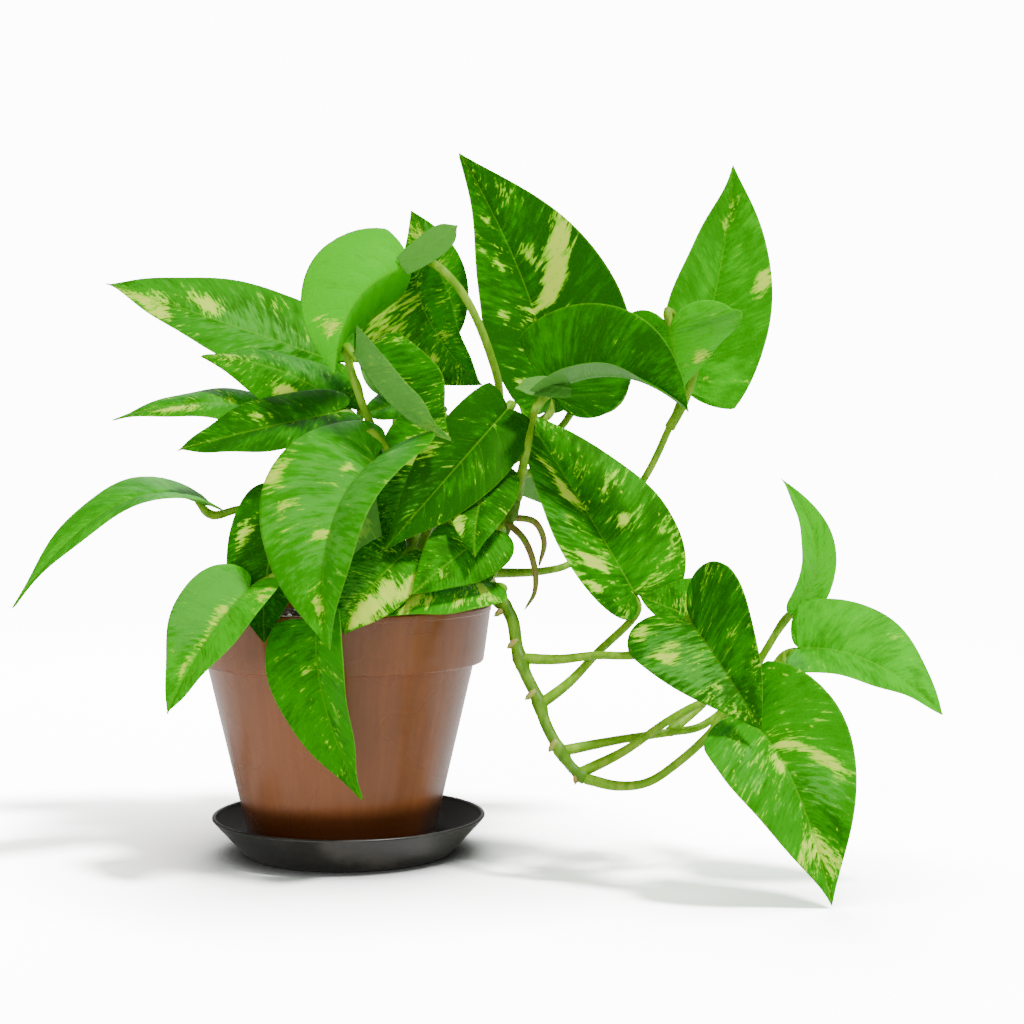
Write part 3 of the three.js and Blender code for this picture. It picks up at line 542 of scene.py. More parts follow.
# The way of each leaf's stalk from its stem, or from another stalk, to the blade.
STALKS = {
    1: [(-1, -5, 144), (6, 2, 168), (7, 14, 190)],
    2: [
        (32, -3, 142), (58, -10, 160), (66, -22, 187), (62, -32, 206), (52, -40, 228),
        (42, -40, 239)],
    3: [(34, -4, 156), (40, 2, 190)],
    4: [(34, -4, 156), (34, 0, 200), (30, -2, 236)],
    5: [(30, -2, 130), (23, -28, 158), (12, -42, 186)],
    6: [(2, -6, 152), (12, -6, 168)],
    7: [(-8, -5, 122), (-16, -3, 150), (-22, -4, 172)],
    8: [(0, -6, 148), (8, -16, 166)],
    9: [(4, -30, 122), (8, -42, 152), (16, -52, 174)],
    10: [(4, -29, 118), (-8, -34, 138)],
    11: [(4, -28, 112), (-2, -48, 118), (-5, -64, 114)],
    12: [(4, -27, 108), (0, -46, 116), (-8, -60, 119), (-17, -62, 120)],
    13: [(-11, -4, 102), (-20, -16, 128), (-36, -26, 143)],
    14: [(46, 22, 146), (66, 20, 160), (82, 18, 178)],
    15: [(73, -29, 148), (76, -46, 164)],
    16: [(82, -59, 69), (93, -56, 77), (104, -52, 88)],
    17: [(75, -52, 86), (89, -55, 86), (103, -59, 88), (119, -65, 89), (131, -67, 94)],
    18: [(132, -58, 58), (150, -46, 72), (158, -40, 88)],
    19: [(99, -70, 42), (111, -74, 40), (122, -78, 42), (133, -82, 50), (145, -86, 62)],
    20: [(97, -69, 44), (114, -66, 52), (132, -64, 64), (144, -62, 70), (166, -60, 77)],
    21: [
        (90, -66, 52), (114, -62, 56), (132, -58, 58), (145, -54, 60), (160, -50, 72),
        (170, -48, 88)],
    22: [
        (61, -21, 117), (84, -8, 117), (96, 0, 120), (112, 6, 135), (128, 10, 157), (137, 10, 176)],
    23: [(137, 10, 176), (143, 4, 188), (146, -6, 204)],
    24: [(71, -27, 142), (64, -31, 160), (68, -30, 179)],
    25: [(29, -1, 118), (42, -24, 148), (46, -36, 172)],
    26: [(5, -26, 104), (26, -40, 116), (36, -52, 126)],
    27: [(56, -36, 110), (66, -41, 112)],
    28: [(68, -24, 134), (70, -30, 150)],
    29: [(60, -38, 110), (66, -38, 128)],
    30: [(32, 22, 124), (26, 20, 158)],
    31: [(44, 22, 142), (44, 24, 166)],
    32: [(48, 22, 148), (72, 32, 162), (92, 40, 176)],
    33: [(33, -4, 152), (22, 14, 176)],
    34: [(-8, -5, 122), (-14, 12, 150), (-12, 30, 172)],
    35: [(38, 22, 136), (62, 24, 150)],
    36: [(33, -4, 152), (40, -8, 178)],
}


def smooth_line(points):
    """Even points on a centripetal Catmull-Rom curve through the given ones, and their way."""
    p = [np.array(q, float) for q in points]
    p = [2 * p[0] - p[1]] + p + [2 * p[-1] - p[-2]]
    line = []
    for a, b, c, d in zip(p, p[1:], p[2:], p[3:]):
        ta, tb, tc = (math.sqrt(np.linalg.norm(y - x)) for x, y in ((a, b), (b, c), (c, d)))
        leave = ((b - a) / ta - (c - a) / (ta + tb) + (c - b) / tb) * tb
        arrive = ((c - b) / tb - (d - b) / (tb + tc) + (d - c) / tc) * tb
        for t in np.linspace(0, 1, ROUTE_STEPS, endpoint=False):
            line.append(b + leave * t + (3 * (c - b) - 2 * leave - arrive) * t * t
                        + (2 * (b - c) + leave + arrive) * t ** 3)
    line.append(p[-2])
    line = np.array(line)
    length = np.r_[0, np.cumsum(np.linalg.norm(np.diff(line, axis=0), axis=1))]
    even = np.linspace(0, length[-1], max(4, round(length[-1] / ROD_STEP)) + 1)
    return np.column_stack([np.interp(even, length, line[:, k]) for k in range(3)]), even


class Rods:
    """Round rods gathered into one mesh, each with its own thickness along the way."""

    def __init__(self):
        self.points, self.faces, self.kinds = [], [], []

    def add(self, route, radius, kind, squash=0.0):
        """radius is a function of the distance from the start and the whole length, and
        squash the depth of a channel along the rod, as a share of the radius."""
        line, far = smooth_line(route)
        tangents = unit(np.gradient(line, axis=0))
        side = unit(np.cross(tangents[0], ASKEW))
        rings = []
        for at, centre, tangent in zip(far, line, tangents):
            side = unit(side - tangent * np.dot(side, tangent))
            over = np.cross(tangent, side)
            size = radius(at, far[-1])
            rings.append([len(self.points) + n for n in range(ROD_SIDES)])
            for n in range(ROD_SIDES):
                angle = 2 * math.pi * n / ROD_SIDES
                dent = 1 - squash * max(0, math.sin(angle)) ** 6
                out = side * math.cos(angle) + over * math.sin(angle)
                self.points.append(centre + out * size * dent)
                self.kinds.append((kind, at / far[-1], size))
        for end, way in ((0, -1), (-1, 1)):
            bulge = ROD_END * radius(far[end], far[-1])
            self.points.append(line[end] + tangents[end] * way * bulge)
            self.kinds.append((kind, far[end] / far[-1], 0.0))
        caps = [[len(self.points) - 2], [len(self.points) - 1]]
        self.faces += bridge(caps[:1] + rings + caps[1:])


def trunk_radius(nodes, trunk):
    """A stem that swells at its nodes."""
    line, far = smooth_line(trunk)
    spots = [far[np.argmin(np.linalg.norm(line - np.array(node), axis=1))] for node in nodes]

    def radius(at, length):
        swell = sum(math.exp(-((at - spot) / NODE_LENGTH) ** 2) for spot in spots)
        scar = sum(math.exp(-((at - spot - SCAR_PAST_NODE) / SCAR_LENGTH) ** 2) for spot in spots)
        taper = 1 - STEM_TAPER * (at / length) ** 2
        return STEM_RADIUS * taper + NODE_SWELL * swell + SCAR_HEIGHT * scar
    return radius


def stalk_radius(at, length):
    """Wide where it clasps the stem, slim along the way, a little thicker under the blade."""
    sheath = 0.6 * math.exp(-(at / 18) ** 2)
    knee = 0.3 * math.exp(-((length - at - 9) / 3.5) ** 2)
    tip = 0.75 * max(0, 1 - (length - at) / 5)
    return STALK_RADIUS * STALK_SLIMNESS + sheath + knee - tip


def root_radius(at, length):
    """Nearly even, with a rounded point."""
    share = at / length
    return ROOT_RADIUS * (1 - ROOT_TAPER * share) * math.sqrt(max(LEAST_POINT, 1 - share ** 4))


def spindle_radius(at, length):
    """Swollen in the middle and pointed at the end."""
    return BUD_POINT + BUD_SWELL * max(0, math.sin(math.pi * (at / length) ** 0.75))


# The small growth on a stem: the rods' radius, what they are and how deep they are channelled.
GROWTH = {
    "roots": (root_radius, ROOT, 0.0),
    "sheaths": (spindle_radius, SHEATH, 0.4),
    "buds": (spindle_radius, STALK, 0.3),
}
STALK_CHANNEL = 0.18


def make_stem(name, stem, material):
    rods = Rods()
    rods.add(stem["trunk"], trunk_radius(stem["nodes"], stem["trunk"]), TRUNK)
    for number in stem["leaves"]:
        way = STALKS[number] + Blade(LEAVES[number]).stalk_end()
        rods.add(way, stalk_radius, STALK, STALK_CHANNEL)
    for part, (radius, kind, channel) in GROWTH.items():
        for way in stem.get(part, []):
            rods.add(way, radius, kind, channel)
    mesh = mesh_of(name + "_stalks", np.array(rods.points) * MM, rods.faces)
    add_vectors(mesh, "stalk", rods.kinds)
    take(link(name + "_stalks", mesh), material, name)


# ---- pot, saucer and soil

SAUCER_OFFSET_X = 3.1
SAUCER_FOOT_RADIUS = 41
SAUCER_WALL_FOOT = SAUCER_FOOT_RADIUS + 3.6
SAUCER_RIM_RADIUS = 56.7
SAUCER_HEIGHT = 15.6
SAUCER_FLOOR = 2
SAUCER_WALL = 2
SAUCER_HOLLOW = 0.6
SAUCER_ROUND = 0.8
SAUCER_INNER_ROUND = 0.6
SAUCER_RINGS = (34, 28)
SAUCER_RING_HEIGHT = 0.2
POT_FOOT_RADIUS = 37.5
POT_FOOT_ROUND = 1.2
POT_FOOT_WIDTH = 7
POT_BOTTOM = 2.3
POT_FLOOR = 2.4
POT_FOOT_RECESS = 1
POT_WALL = 2
BAND_BOTTOM = 79.3
BAND_STEP_RADIUS = 55.3
BAND_STEP_ROUND = 0.9
BAND_BOTTOM_RADIUS = 59.2
BAND_ROUND = 1.0
LIP_HEIGHT = 3.0
LIP_ROUND = 0.9
LIP_INNER_ROUND = 0.6
RIM_RADIUS = 62.5
RIM_TOP = 103.3
DRAIN_HOLES = 6
DRAIN_HOLE_RADIUS = 3.5
DRAIN_CIRCLE_RADIUS = 22
DRILL_LENGTH = 12
DRILL_HEIGHT = 4
DRILL_SIDES = 32
FINE_SIDES = 144
SHARP_DEGREES = 35

SOIL_TOP = 96
SOIL_HEAP = 3
SOIL_LUMP = 0.7
SOIL_SINK = 0.6
SOIL_SHAKE = 0.5
SOIL_SIDES = 110
SOIL_RINGS = 30
SOIL_SEED = 11
CRUMB_SINK = 0.7
# Loose grains: name, how many, least and largest size, seed.
BARK = ("bark_crumbs", 620, (0.5, 1.7), 21)
PERLITE = ("perlite_grains", 150, (0.5, 1.3), 22)


def pot_radius(height):
    share = (height - POT_BOTTOM) / (BAND_BOTTOM - POT_BOTTOM)
    return POT_FOOT_RADIUS + (BAND_STEP_RADIUS - POT_FOOT_RADIUS) * share


def band_radius(height):
    share = (height - BAND_BOTTOM) / (RIM_TOP - BAND_BOTTOM)
    return BAND_BOTTOM_RADIUS + (RIM_RADIUS - BAND_BOTTOM_RADIUS) * share


def pot_profile():
    """Foot, wall, band and lip from under the pot to its mouth, and down again inside."""
    under = POT_BOTTOM + POT_FOOT_RECESS
    floor_top = under + POT_FLOOR
    recess = POT_FOOT_RADIUS - POT_FOOT_WIDTH
    foot = (POT_FOOT_RADIUS - POT_FOOT_ROUND, POT_BOTTOM + POT_FOOT_ROUND)
    step = (BAND_STEP_RADIUS + 0.8, BAND_BOTTOM - BAND_STEP_ROUND)
    band = (BAND_BOTTOM_RADIUS - BAND_ROUND, BAND_BOTTOM + BAND_ROUND)
    lip = (RIM_RADIUS - LIP_ROUND, RIM_TOP - LIP_ROUND)
    mouth = (RIM_RADIUS - POT_WALL + 0.4, RIM_TOP - LIP_INNER_ROUND)
    inside = np.linspace(BAND_BOTTOM - 2, floor_top + 2, 6)
    profile = [(0, under), (recess, under), (recess + 1, POT_BOTTOM)]
    profile += arc(foot, POT_FOOT_ROUND, -90, -10, 5)
    profile += [(pot_radius(z), z) for z in np.linspace(POT_BOTTOM + 1.4, BAND_BOTTOM - 1.6, 9)]
    profile += arc(step, BAND_STEP_ROUND, 170, 100, 4)
    profile += arc(band, BAND_ROUND, -90, -8, 5)
    profile += [(band_radius(z), z) for z in np.linspace(BAND_BOTTOM + 1.2, RIM_TOP - 3.4, 4)]
    profile += [(RIM_RADIUS - 0.45, RIM_TOP - LIP_HEIGHT), (RIM_RADIUS - 0.1, RIM_TOP - 2.6)]
    profile += arc(lip, LIP_ROUND, 0, 90, 5)
    profile += arc(mouth, LIP_INNER_ROUND, 90, 180, 4)
    profile += [(band_radius(z) - POT_WALL, z) for z in (RIM_TOP - 3, BAND_BOTTOM + 2)]
    profile += [(pot_radius(z) - POT_WALL, z) for z in inside]
    return profile + [(pot_radius(floor_top) - POT_WALL - 2, floor_top), (0, floor_top)]


def make_pot(material):
    pot = lathe("nursery_pot", pot_profile(), FINE_SIDES)
    drills = drill_pattern()
    cut = pot.modifiers.new("drain_holes", "BOOLEAN")
    cut.object = drills
    cut.solver = "EXACT"
    apply_modifiers(pot)
    bpy.data.objects.remove(drills)
    sharpen(pot)
    pot.data.materials.clear()
    take(pot, material, "pot")


def drill_pattern():
    build = bmesh.new()
    radius = DRAIN_HOLE_RADIUS * MM
    for k in range(DRAIN_HOLES):
        angle = 2 * math.pi * k / DRAIN_HOLES
        made = bmesh.ops.create_cone(build, cap_ends=True, segments=DRILL_SIDES, radius1=radius,
                                     radius2=radius, depth=DRILL_LENGTH * MM)
        spot = Vector((math.cos(angle), math.sin(angle), 0)) * DRAIN_CIRCLE_RADIUS * MM
        lift = Vector((0, 0, DRILL_HEIGHT * MM))
        bmesh.ops.translate(build, vec=spot + lift, verts=made["verts"])
    return link("drills", mesh_from(build, "drills"))


def mesh_from(build, name):
    mesh = bpy.data.meshes.new(name)
    build.to_mesh(mesh)
    build.free()
    return mesh


def apply_modifiers(piece):
    graph = bpy.context.evaluated_depsgraph_get()
    mesh = bpy.data.meshes.new_from_object(piece.evaluated_get(graph))
    piece.modifiers.clear()
    piece.data = mesh


def sharpen(piece):
    """Smooth shading that breaks at hard edges."""
    build = bmesh.new()
    build.from_mesh(piece.data)
    for face in build.faces:
        face.smooth = True
    for edge in build.edges:
        flat = len(edge.link_faces) == 2 and edge.calc_face_angle(0) < math.radians(SHARP_DEGREES)
        edge.smooth = flat
    build.to_mesh(piece.data)
    build.free()


def saucer_profile():
    """Foot and wall from under the saucer to its rim, and down again inside over its rings."""
    inner = SAUCER_RIM_RADIUS - SAUCER_WALL
    foot = SAUCER_WALL_FOOT
    rim = (SAUCER_RIM_RADIUS - 0.9, SAUCER_HEIGHT - 0.8)
    inner_rim = (inner + 0.7, SAUCER_HEIGHT - 0.7)
    profile = [(0, SAUCER_HOLLOW), (SAUCER_FOOT_RADIUS - 3, SAUCER_HOLLOW)]
    profile += [(SAUCER_FOOT_RADIUS - 2.4, 0), (SAUCER_FOOT_RADIUS - 0.5, 0)]
    profile += arc((foot - 2.6, 2.6), 2.5, -75, -25, 5)
    profile += [(foot + 5, SAUCER_HEIGHT * 0.45), (SAUCER_RIM_RADIUS - 0.5, SAUCER_HEIGHT - 1.4)]
    profile += arc(rim, SAUCER_ROUND, -10, 90, 5)
    profile += arc(inner_rim, SAUCER_INNER_ROUND, 95, 175, 4)
    profile += [(inner - 0.8, SAUCER_HEIGHT - 2.2), (foot + 1.8, SAUCER_HEIGHT * 0.38)]
    profile += arc((foot - 3.4, SAUCER_FLOOR + 2.6), 2.6, -20, -90, 5)
    for ring in SAUCER_RINGS:
        for out, rise in ((0.9, 0), (0.4, 1), (-0.4, 1), (-0.9, 0)):
            profile.append((ring + out, SAUCER_FLOOR + rise * SAUCER_RING_HEIGHT))
    return profile + [(0, SAUCER_FLOOR)]


def make_saucer(material):
    saucer = lathe("drip_saucer", saucer_profile(), FINE_SIDES, SAUCER_OFFSET_X)
    sharpen(saucer)
    take(saucer, material, "saucer")


def soil_height(x, y):
    reach = math.hypot(x, y) / RIM_RADIUS
    lumps = math.sin(0.31 * x + 1.2) * math.cos(0.27 * y) + math.sin(0.17 * (x + y))
    return SOIL_TOP + SOIL_HEAP * (1 - reach * reach) + SOIL_LUMP * lumps


def make_soil(soil_material, bark_material, perlite_material):
    rng = random.Random(SOIL_SEED)
    edge = band_radius(SOIL_TOP - 3) - POT_WALL - 0.4
    profile = [(0, BAND_BOTTOM - 20), (edge - 9, BAND_BOTTOM - 20), (edge - 6, BAND_BOTTOM - 2),
               (edge - 1.4, BAND_BOTTOM + 6), (edge, SOIL_TOP - 3), (edge - 0.6, SOIL_TOP - 1)]
    profile += [(edge * (1 - k / SOIL_RINGS), SOIL_TOP) for k in range(1, SOIL_RINGS)]
    soil = lathe("potting_soil", profile + [(0, SOIL_TOP)], SOIL_SIDES)
    for vertex in soil.data.vertices:
        x, y, z = vertex.co / MM
        if z > SOIL_TOP - 0.5:
            crumb = rng.uniform(-0.9, 0.25) + 0.5 * math.sin(x * 1.1) * math.sin(y * 1.3 + 1)
            vertex.co.z = (soil_height(x, y) + crumb - SOIL_SINK) * MM
            vertex.co.x += rng.uniform(-SOIL_SHAKE, SOIL_SHAKE) * MM
            vertex.co.y += rng.uniform(-SOIL_SHAKE, SOIL_SHAKE) * MM
    take(soil, soil_material, "soil")
    scatter(*BARK, edge - 2, bark_material)
    scatter(*PERLITE, edge - 2, perlite_material)


def scatter(name, count, sizes, seed, reach, material):
    """Crumbs that lie in the soil's surface."""
    rng = random.Random(seed)
    build = bmesh.new()
    for _ in range(count):
        far, turn = reach * math.sqrt(rng.random()), rng.uniform(0, 2 * math.pi)
        x, y = far * math.cos(turn), far * math.sin(turn)
        size = rng.uniform(*sizes)
        made = bmesh.ops.create_icosphere(build, subdivisions=1, radius=1)
        stretch = (rng.uniform(0.7, 1.5), rng.uniform(0.6, 1.1), rng.uniform(0.4, 0.8))
        twist = rng.uniform(0, 6.28)
        for vertex in made["verts"]:
            px, py, pz = (c * s * size * rng.uniform(0.75, 1.15)
                          for c, s in zip(vertex.co, stretch))
            vertex.co = Vector((x + px * math.cos(twist) - py * math.sin(twist),
                                y + px * math.sin(twist) + py * math.cos(twist),
                                soil_height(x, y) - CRUMB_SINK + pz)) * MM
    mesh = mesh_from(build, name)
    mesh.materials.append(material)
    piece = link(name, mesh)
    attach(piece, BODY)


# ---- materials

class Nodes:
    """A short way to write node trees."""

    def __init__(self, owner, output="Material"):
        self.owner = owner
        owner.use_nodes = True
        self.tree = owner.node_tree
        self.tree.nodes.clear()
        self.output = self.tree.nodes.new("ShaderNodeOutput" + output)

    def set(self, socket, value):
        if isinstance(value, bpy.types.NodeSocket):
            self.tree.links.new(value, socket)
        elif isinstance(value, tuple) and len(value) == 3 and len(socket.default_value) == 4:
            socket.default_value = (*value, 1)
        else:
            socket.default_value = value

    def add(self, kind, inputs=None, out=0, **settings):
        node = self.tree.nodes.new("ShaderNode" + kind)
        for key, value in settings.items():
            setattr(node, key, value)
        for key, value in (inputs or {}).items():
            self.set(node.inputs[key], value)
        return node.outputs[out]

    def math(self, operation, a, b=0.0, c=0.0):
        return self.add("Math", {0: a, 1: b, 2: c}, operation=operation)

    def plus(self, a, b):
        return self.math("ADD", a, b)

    def minus(self, a, b):
        return self.math("SUBTRACT", a, b)

    def times(self, a, b):
        return self.math("MULTIPLY", a, b)

    def total(self, *terms):
        """The sum of values, each times its weight."""
        sum_so_far, *others = [self.times(value, weight) for value, weight in terms]
        for other in others:
            sum_so_far = self.plus(sum_so_far, other)
        return sum_so_far

    def ramp(self, value, low, high):
        """0 under low, 1 over high, smooth between."""
        return self.add("MapRange", {"Value": value, "From Min": low, "From Max": high},
                        interpolation_type="SMOOTHSTEP")

    def fall(self, value, low, high):
        """1 under low, 0 over high, smooth between."""
        return self.minus(1.0, self.ramp(value, low, high))

    def mix(self, share, a, b):
        node = self.tree.nodes.new("ShaderNodeMix")
        node.data_type = "RGBA"
        # the colour sockets follow those for numbers and vectors
        for place, value in ((0, share), (6, a), (7, b)):
            self.set(node.inputs[place], value)
        return node.outputs[2]

    def noise(self, vector, scale, detail=3.0, rough=0.55):
        return self.add("TexNoise", {"Vector": vector, "Scale": scale, "Detail": detail,
                                     "Roughness": rough})

    def stretch(self, vector, scale):
        return self.add("VectorMath", {0: vector, 1: scale}, operation="MULTIPLY")

    def vector(self, x, y, z):
        return self.add("CombineXYZ", {0: x, 1: y, 2: z})

    def part(self, vector):
        return self.add("SeparateXYZ", {0: vector}).node.outputs[:]

    def place(self):
        return self.add("TexCoord", out="Object")

    def read(self, attribute):
        """The three numbers of a vector that the mesh carries."""
        return self.part(self.add("Attribute", out="Vector", attribute_name=attribute))

    def bump(self, height, distance, strength=1.0):
        return self.add("Bump", {"Height": height, "Distance": distance, "Strength": strength})

    def principled(self, colour, roughness, normal, specular, more=()):
        return self.add("BsdfPrincipled", {
            "Base Color": colour, "Roughness": roughness, "Normal": normal,
            "Specular IOR Level": specular, **dict(more)})

    def finish(self, shader):
        self.set(self.output.inputs["Surface"], shader)
        return self.owner

    def blend(self, share, shader, other):
        """The finished surface, with a share of another shader."""
        return self.finish(self.add("MixShader", {0: share, 1: shader, 2: other}))


def new_material(name):
    return Nodes(bpy.data.materials.new(name))


DARK_GREEN = (0.010, 0.120, 0.0)
MID_GREEN = (0.030, 0.33, 0.0)
LIME = (0.070, 0.62, 0.0)
# greyish green: partly the leaves' own silvery variegation, partly painted sheen
GREY_GREEN_AND_SHEEN = (0.11, 0.46, 0.05)
CREAM = (0.78, 0.99, 0.07)
FLECK = (0.32, 0.84, 0.0)
SPECK = (0.45, 0.90, 0.01)
SHEEN = (0.35, 1.0, 0.06)
RIB_GREEN = (0.20, 0.58, 0.01)
UNDERSIDE = (0.18, 0.50, 0.085)
THROUGH = (0.12, 0.85, 0.0)
LEAF_SEEN_THROUGH = 0.22
VEIN_WIDTH = 0.14
SPECK_GRID = (3.0, 7.0)

TRUNK_GREENS = ((0.085, 0.24, 0.004), (0.17, 0.38, 0.012))
STALK_GREENS = ((0.17, 0.42, 0.003), (0.30, 0.56, 0.02))
ROOT_COLOURS = ((0.46, 0.33, 0.09), (0.36, 0.52, 0.07))
ROOT_TIP = (0.16, 0.09, 0.03)
SHEATH_COLOUR = (0.62, 0.62, 0.26)
NODE_BROWN = (0.20, 0.17, 0.03)
STEM_THROUGH = (0.3, 0.7, 0.03)
STEM_SEEN_THROUGH = 0.14

POT_BROWNS = ((0.225, 0.064, 0.011), (0.265, 0.077, 0.015))
POT_BLOOM = (0.30, 0.11, 0.03)
# painted shade and painted reflection of the dark saucer: a dark band low on the pot, and the
# height where it ends
POT_PAINTED_SHADE = (0.05, 0.012, 0.002)
POT_PAINTED_SHADE_TOP = (0.019, 0.027)
SAUCER_GREYS = ((0.014, 0.013, 0.010), (0.040, 0.036, 0.027))
SOIL_BROWNS = ((0.012, 0.006, 0.003), (0.075, 0.038, 0.018))
SOIL_DRY = (0.10, 0.055, 0.028)
# Loose grains: name of the material, dark and light colour, roughness.
BARK_LOOK = ("bark_crumb", (0.02, 0.010, 0.005), (0.11, 0.06, 0.03), 0.9)
PERLITE_LOOK = ("perlite", (0.55, 0.52, 0.46), (0.80, 0.78, 0.72), 0.85)


def leaf_material():
    n = new_material("variegated_leaf")
    grey_and_sheen, v, seed = n.read("blade")
    tone, cream, flecks = n.read("look")
    off_rib, row, upper = n.read("lie")
    share = n.math("ABSOLUTE", v)
    row = n.times(row, float(ALL_ROWS))
    # the veins run where the row number is whole, and what is grown runs with them
    veined = n.vector(row, v, seed)

    def grown(scale, detail=2.0, rough=0.5):
        return n.noise(n.stretch(veined, scale), 1.0, detail, rough)

    streaks = grown((8.0, 3.2, 1.0), 4.0, 0.62)
    patches = grown((1.1, 1.6, 1.0))
    fine = grown((22.0, 9.0, 1.0))
    cloud = grown((0.8, 1.2, 1.7))
    ripple = grown((9.0, 30.0, 1.0), 3.0, 0.6)
    # greens
    tone = n.plus(tone, n.minus(cloud, 0.5))
    tone = n.plus(tone, n.times(n.minus(streaks, 0.53), 1.1))
    green = n.mix(n.ramp(tone, 0.0, 0.5), DARK_GREEN, MID_GREEN)
    green = n.mix(n.ramp(tone, 0.5, 1.0), green, LIME)
    grey_and_sheen_mask = n.total((streaks, 0.9), (grey_and_sheen, 0.3), (flecks, 0.12))
    # greyish green where streaks and patches run high: partly the leaf's own variegation, partly
    # painted sheen
    green = n.mix(n.times(n.ramp(grey_and_sheen_mask, 0.60, 0.78), 0.7), green, GREY_GREEN_AND_SHEEN)
    # cream and yellow-green flecks
    level = n.total((streaks, 0.75), (patches, 0.45), (fine, 0.3), (flecks, 0.16), (cream, 0.34))
    colour = n.mix(n.ramp(level, 0.93, 1.0), green, FLECK)
    colour = n.mix(n.ramp(level, 1.0, 1.08), colour, CREAM)
    # ragged specks that crowd round the patches
    cells = n.vector(*(n.math("MULTIPLY_ADD", at, size, seed)
                       for at, size in zip((row, v), SPECK_GRID)), 0.0)
    off_speck = n.add("TexVoronoi", {"Vector": cells, "Scale": 1.0}, voronoi_dimensions="2D")
    chance = n.part(off_speck.node.outputs["Color"])[0]
    crowd = n.total((patches, 1.4), (cream, 0.3))
    chance = n.math("MULTIPLY_ADD", flecks, 0.5, n.math("MULTIPLY_ADD", chance, 0.5, crowd))
    ragged = n.math("MULTIPLY_ADD", streaks, 0.3, n.times(fine, 0.2))
    speck = n.times(n.fall(n.plus(off_speck, ragged), 0.3, 0.42), n.ramp(chance, 1.42, 1.5))
    colour = n.mix(n.times(speck, 0.75), colour, SPECK)
    # midrib, side veins and margin
    beat = n.math("ABSOLUTE", n.math("SINE", n.times(row, math.pi)))
    vein = n.times(n.fall(beat, 0.0, VEIN_WIDTH), n.minus(1.0, share))
    for line, strength in ((n.fall(off_rib, 0.15, 0.65), 0.34), (vein, 0.16),
                           (n.ramp(share, 0.975, 0.998), 0.3)):
        colour = n.mix(n.times(line, strength), colour, RIB_GREEN)
    # the underside is paler and duller
    colour = n.mix(upper, n.mix(0.72, colour, UNDERSIDE), colour)
    normal = n.bump(n.total((ripple, 0.6), (vein, -0.7), (fine, 0.35)), 0.00022, 0.8)
    surface = n.principled(colour, 0.5, normal, 0.2, {"Specular Tint": SHEEN})
    light = n.mix(0.55, colour, THROUGH)
    through = n.add("BsdfTranslucent", {"Color": light, "Normal": normal})
    return n.blend(LEAF_SEEN_THROUGH, surface, through)


def stem_material():
    n = new_material("living_stem")
    kind, far, size = n.read("stalk")
    place = n.place()
    blotches = n.noise(n.stretch(place, (260.0, 260.0, 120.0)), 1.0, 3.0)
    fine = n.noise(n.stretch(place, (1500.0, 1500.0, 500.0)), 1.0, 2.0)
    colour = n.mix(n.ramp(blotches, 0.4, 0.62), *TRUNK_GREENS)
    stalk = n.mix(n.ramp(blotches, 0.4, 0.65), *STALK_GREENS)
    root = n.mix(n.ramp(blotches, 0.42, 0.6), *ROOT_COLOURS)
    root = n.mix(n.times(far, 0.4), root, ROOT_TIP)
    for kind_before, other in ((TRUNK, stalk), (STALK, root), (ROOT, SHEATH_COLOUR)):
        colour = n.mix(n.ramp(kind, kind_before + 0.2, kind_before + 0.8), colour, other)
    swollen = n.times(n.ramp(size, 2.85, 3.3), n.fall(kind, 0.2, 0.6))
    colour = n.mix(n.times(swollen, 0.5), colour, NODE_BROWN)
    normal = n.bump(n.plus(fine, n.times(blotches, 0.5)), 0.00025, 0.6)
    surface = n.principled(colour, 0.42, normal, 0.25)
    through = n.add("BsdfTranslucent", {"Color": STEM_THROUGH})
    return n.blend(STEM_SEEN_THROUGH, surface, through)


def pot_material():
    n = new_material("glossy_brown_plastic")
    place = n.place()
    x, y, z = n.part(place)
    turn = n.math("ARCTAN2", y, x)
    streaks = n.noise(n.vector(n.times(turn, 9.0), n.times(z, 18.0), 0.0), 1.4, 4.0, 0.6)
    cloud = n.noise(place, 28.0, 1.0)
    colour = n.mix(n.ramp(streaks, 0.35, 0.7), *POT_BROWNS)
    colour = n.mix(n.times(cloud, 0.3), colour, POT_BLOOM)
    # painted shade and painted reflection of the dark saucer, darkening the pot below the top of
    # the band
    colour = n.mix(n.times(n.fall(z, *POT_PAINTED_SHADE_TOP), 0.85), colour, POT_PAINTED_SHADE)
    rough = n.plus(0.22, n.times(cloud, 0.12))
    gloss = {"Coat Weight": 0.15, "Coat Roughness": 0.15}
    return n.finish(n.principled(colour, rough, n.bump(streaks, 0.00008, 0.3), 0.42, gloss))


def saucer_material():
    n = new_material("charcoal_plastic")
    place = n.place()
    grain = n.noise(place, 1100.0, 2.0)
    dust = n.noise(place, 60.0, 4.0, 0.6)
    colour = n.mix(n.ramp(dust, 0.45, 0.72), *SAUCER_GREYS)
    rough = n.plus(0.36, n.times(n.ramp(dust, 0.4, 0.75), 0.2))
    return n.finish(n.principled(colour, rough, n.bump(grain, 0.00012, 0.5), 0.5))


def soil_material():
    n = new_material("potting_soil")
    place = n.place()
    crumbs = n.noise(place, 420.0, 6.0, 0.7)
    patches = n.noise(place, 60.0, 3.0)
    colour = n.mix(n.ramp(crumbs, 0.35, 0.7), *SOIL_BROWNS)
    colour = n.mix(n.times(n.ramp(patches, 0.5, 0.7), 0.4), colour, SOIL_DRY)
    return n.finish(n.principled(colour, 0.92, n.bump(crumbs, 0.0012, 0.9), 0.2))


def grain_material(name, dark, light, roughness):
    n = new_material(name)
    spots = n.noise(n.place(), 500.0, 4.0)
    colour = n.mix(n.ramp(spots, 0.35, 0.7), dark, light)
    return n.finish(n.principled(colour, roughness, n.bump(spots, 0.0004, 0.8), 0.5))


# ---- studio

